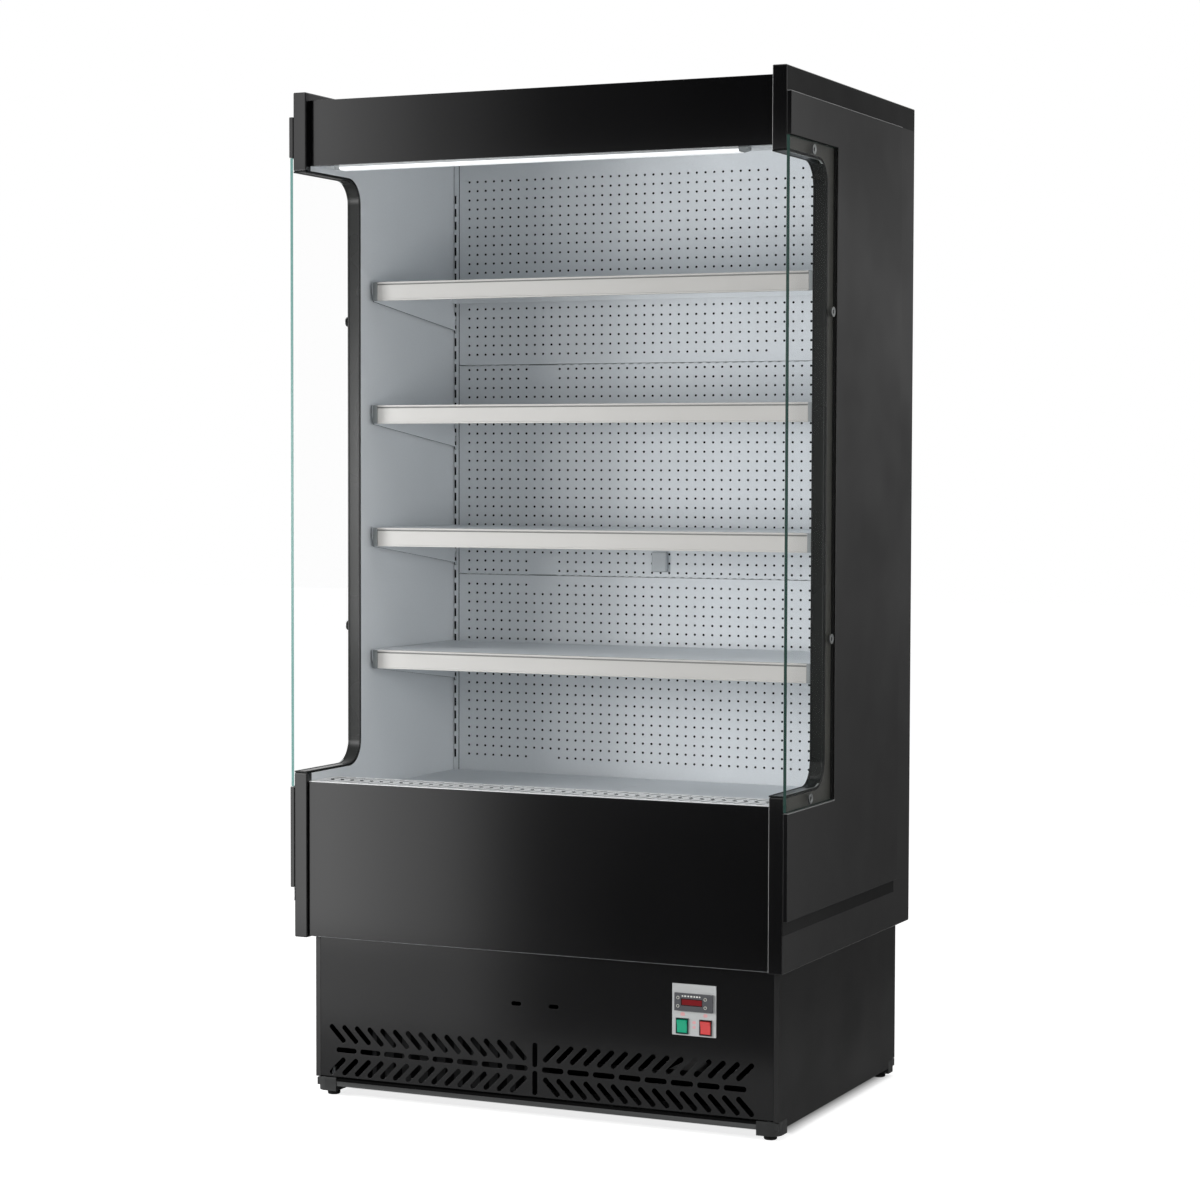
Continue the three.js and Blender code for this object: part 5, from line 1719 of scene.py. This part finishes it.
@dataclass
class Studio:
    """Camera at the photograph's viewing angle, soft lights and a pale floor."""

    lens: float = 87.13
    sensor: float = 36.0
    reach: float = 100.0
    place: tuple[float, float, float] = (2.2891, -5.0634, 1.1906)
    turn: float = 24.5024
    tilt: float = 87.4088
    roll: float = 0.1605
    ambient: float = 0.25
    floor_size: float = 40.0
    floor_grey: float = 0.8
    floor_glow: float = 0.82
    seen_inset: float = 0.075
    fade: float = 0.04
    cards: tuple[Card, ...] = (
        Card(
            "canopy_card", (-1250, -942, 1790), (1300, -940, 2300), 0,
            (
                (-0.85, 1.60), (-0.80, 2.20), (-0.73, 1.60), (-0.66, 1.30), (-0.60, 1.05),
                (-0.53, 0.65), (-0.46, 0.54), (-0.39, 0.37), (-0.33, 0.24), (-0.26, 0.11),
                (0.10, 0.03),
            ),
        ),
        Card(
            "panel_card", (-1250, -942, 196), (1300, -940, 600), 0,
            (
                (-0.85, 2.20), (-0.80, 2.76), (-0.73, 2.39), (-0.66, 2.06), (-0.60, 1.74),
                (-0.53, 1.51), (-0.46, 1.19), (-0.39, 0.71), (-0.33, 0.39), (-0.26, 0.20),
                (-0.19, 0.15), (-0.05, 0.08), (0.20, 0.06),
            ),
        ),
        Card(
            "base_card", (-1250, -942, 2), (1300, -940, 194), 0,
            (
                (-0.80, 1.28), (-0.60, 1.01), (-0.48, 0.97), (-0.41, 0.62), (-0.34, 0.34),
                (-0.27, 0.17), (0.00, 0.15),
            ),
        ),
        Card(
            "side_card", (800, 150, 2), (802, 1900, 2300), 2,
            (
                (0.06, 0.11), (0.30, 0.16), (1.14, 0.25), (1.72, 0.41), (1.83, 0.27),
                (1.94, 0.20), (2.20, 0.16),
            ),
        ),
    )
    lamps: tuple[Softbox, ...] = (
        Softbox("key_left", (-2.62, -2.04, 1.1), 0.8, 0.8, 31.5),
        Softbox("key_inner", (-2.06, -2.65, 1.1), 0.8, 0.8, 9.7),
        Softbox("fill_right", (2.77, -1.80, 1.1), 0.8, 0.8, 11.5),
        Softbox("overhead", (0.0, -1.6, 4.4), 3.0, 2.4, 1.4),
    )

    def build(self) -> None:
        """Builds the studio."""
        bpy.context.scene.view_settings.view_transform = "Standard"
        self.camera()
        self.world()
        self.floor()
        for card in self.cards:
            self.card(card)
        for lamp in self.lamps:
            self.light(lamp)

    def camera(self) -> None:
        """Places the camera fitted to the photograph."""
        data = bpy.data.cameras.new("camera")
        data.lens = self.lens
        data.sensor_width = self.sensor
        data.clip_end = self.reach
        camera = bpy.data.objects.new("camera", data)
        bpy.context.scene.collection.objects.link(camera)
        place = Matrix.Translation(self.place)
        for angle, axis in ((self.turn, "Z"), (self.tilt, "X"), (self.roll, "Z")):
            place = place @ Matrix.Rotation(math.radians(angle), 4, axis)
        camera.matrix_world = place
        bpy.context.scene.camera = camera

    def world(self) -> None:
        """Makes a white backdrop for the eye and for gloss, and a dimmer light for the rest."""
        world = bpy.data.worlds.new("studio")
        world.use_nodes = True
        tree = world.node_tree
        tree.nodes.clear()
        path = add_node(tree, "ShaderNodeLightPath").outputs
        inputs = {0: path["Is Camera Ray"], 1: path["Is Transmission Ray"]}
        seen = add_node(tree, "ShaderNodeMath", inputs, operation="MAXIMUM")
        inputs = {0: seen, 1: path["Is Glossy Ray"]}
        gloss = add_node(tree, "ShaderNodeMath", inputs, operation="MAXIMUM")
        inputs = {"Value": gloss, "To Min": self.ambient, "To Max": 1.0}
        strength = add_node(tree, "ShaderNodeMapRange", inputs)
        back = add_node(tree, "ShaderNodeBackground", {"Color": WHITE, "Strength": strength})
        add_node(tree, "ShaderNodeOutputWorld", {"Surface": back})
        bpy.context.scene.world = world

    def floor(self) -> None:
        """Makes the floor: white to the eye with the shadow left on it, and painted black under the
        base as painted shade.
        """
        deselect()
        bpy.ops.mesh.primitive_plane_add(size=self.floor_size, location=(0, 0, 0))
        floor = take("studio_floor")
        floor.data.materials.append(new_material("studio_floor_paint", self.floor_paint))

    def floor_paint(self, tree: Tree) -> bpy.types.Node:
        """Adds the floor's paint, with a glow that only the eye sees."""
        path = add_node(tree, "ShaderNodeLightPath")
        # the floor's colour falls to black under the base: painted shade
        grey = self.beside_base(tree, 0.0, self.floor_grey)
        paint = add_node(tree, "ShaderNodeBsdfDiffuse", {"Color": grey})
        # under the base the floor is painted black, a painted shade that the slots show dark; what
        # shows under its edge is pale
        pale = self.beside_base(tree, self.seen_inset, self.floor_glow)
        glow = add_node(tree, "ShaderNodeEmission", {"Color": WHITE, "Strength": pale})
        both = add_node(tree, "ShaderNodeAddShader", {0: paint, 1: glow})
        inputs = {0: path.outputs["Is Camera Ray"], 1: paint, 2: both}
        return add_node(tree, "ShaderNodeMixShader", inputs)

    def beside_base(self, tree: Tree, front: float, level: float) -> bpy.types.Node:
        """Adds a grey that fades to nothing under the base: as the floor's colour it is painted
        shade, so that the base stays dark inside.

        Args:
            tree: The floor's nodes.
            front: How far under the front edge it reaches, in metres.
            level: How bright it is beside the base.

        Returns:
            The grey.
        """
        low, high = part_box("base_frame")
        low.y += front
        middle, half = (low + high) / 2, (high - low) / 2
        place = add_node(tree, "ShaderNodeTexCoord").outputs["Object"]
        apart = add_node(tree, "ShaderNodeSeparateXYZ", {0: place})
        reaches = []
        for axis in (0, 1):
            inputs = {0: apart.outputs[axis], 1: middle[axis]}
            offset = add_node(tree, "ShaderNodeMath", inputs, operation="SUBTRACT")
            size = add_node(tree, "ShaderNodeMath", {0: offset}, operation="ABSOLUTE")
            start, stop = half[axis] - self.fade, half[axis]
            inputs = {"Value": size, "From Min": start, "From Max": stop, "To Max": level}
            reaches.append(add_node(tree, "ShaderNodeMapRange", inputs))
        inputs = {0: reaches[0], 1: reaches[1]}
        return add_node(tree, "ShaderNodeMath", inputs, operation="MAXIMUM")

    def card(self, card: Card) -> None:
        """Stands a graded card that only gloss can see: it shapes the sheen of the black sheets.

        Args:
            card: Its place and its brightness.
        """
        piece = block(card.name, card.low, card.high)
        piece.data.materials.append(new_material(card.name + "_cloth", card.shade))
        for kind in ("camera", "diffuse", "transmission", "volume_scatter", "shadow"):
            setattr(piece, "visible_" + kind, False)

    def light(self, lamp: Softbox) -> None:
        """Places one lamp and turns it to the object."""
        data = bpy.data.lights.new(lamp.name, "AREA")
        data.shape = "RECTANGLE"
        data.size, data.size_y = lamp.width, lamp.height
        data.energy = lamp.radiance * math.pi * lamp.width * lamp.height
        light = bpy.data.objects.new(lamp.name, data)
        bpy.context.scene.collection.objects.link(light)
        aim = Vector((0, 0, lamp.aim_height)) - Vector(lamp.place)
        turn = aim.to_track_quat("-Z", "Y").to_matrix().to_4x4()
        light.matrix_world = Matrix.Translation(lamp.place) @ turn


def main() -> None:
    """Builds every sub-assembly and the studio."""
    logging.basicConfig(level=logging.INFO, format="%(name)s: %(message)s")
    Studio().build()
    for part in (
        EndWalls(),
        FrontPanels(),
        CeilingAndLamp(),
        RearDuct(),
        Shelves(),
        DeckAndGrille(),
        MachineBase(),
        Controls(),
        CoolingMachinery(),
    ):
        log.info("building %s", type(part).__name__)
        part.build()


if __name__ == "__main__":
    main()
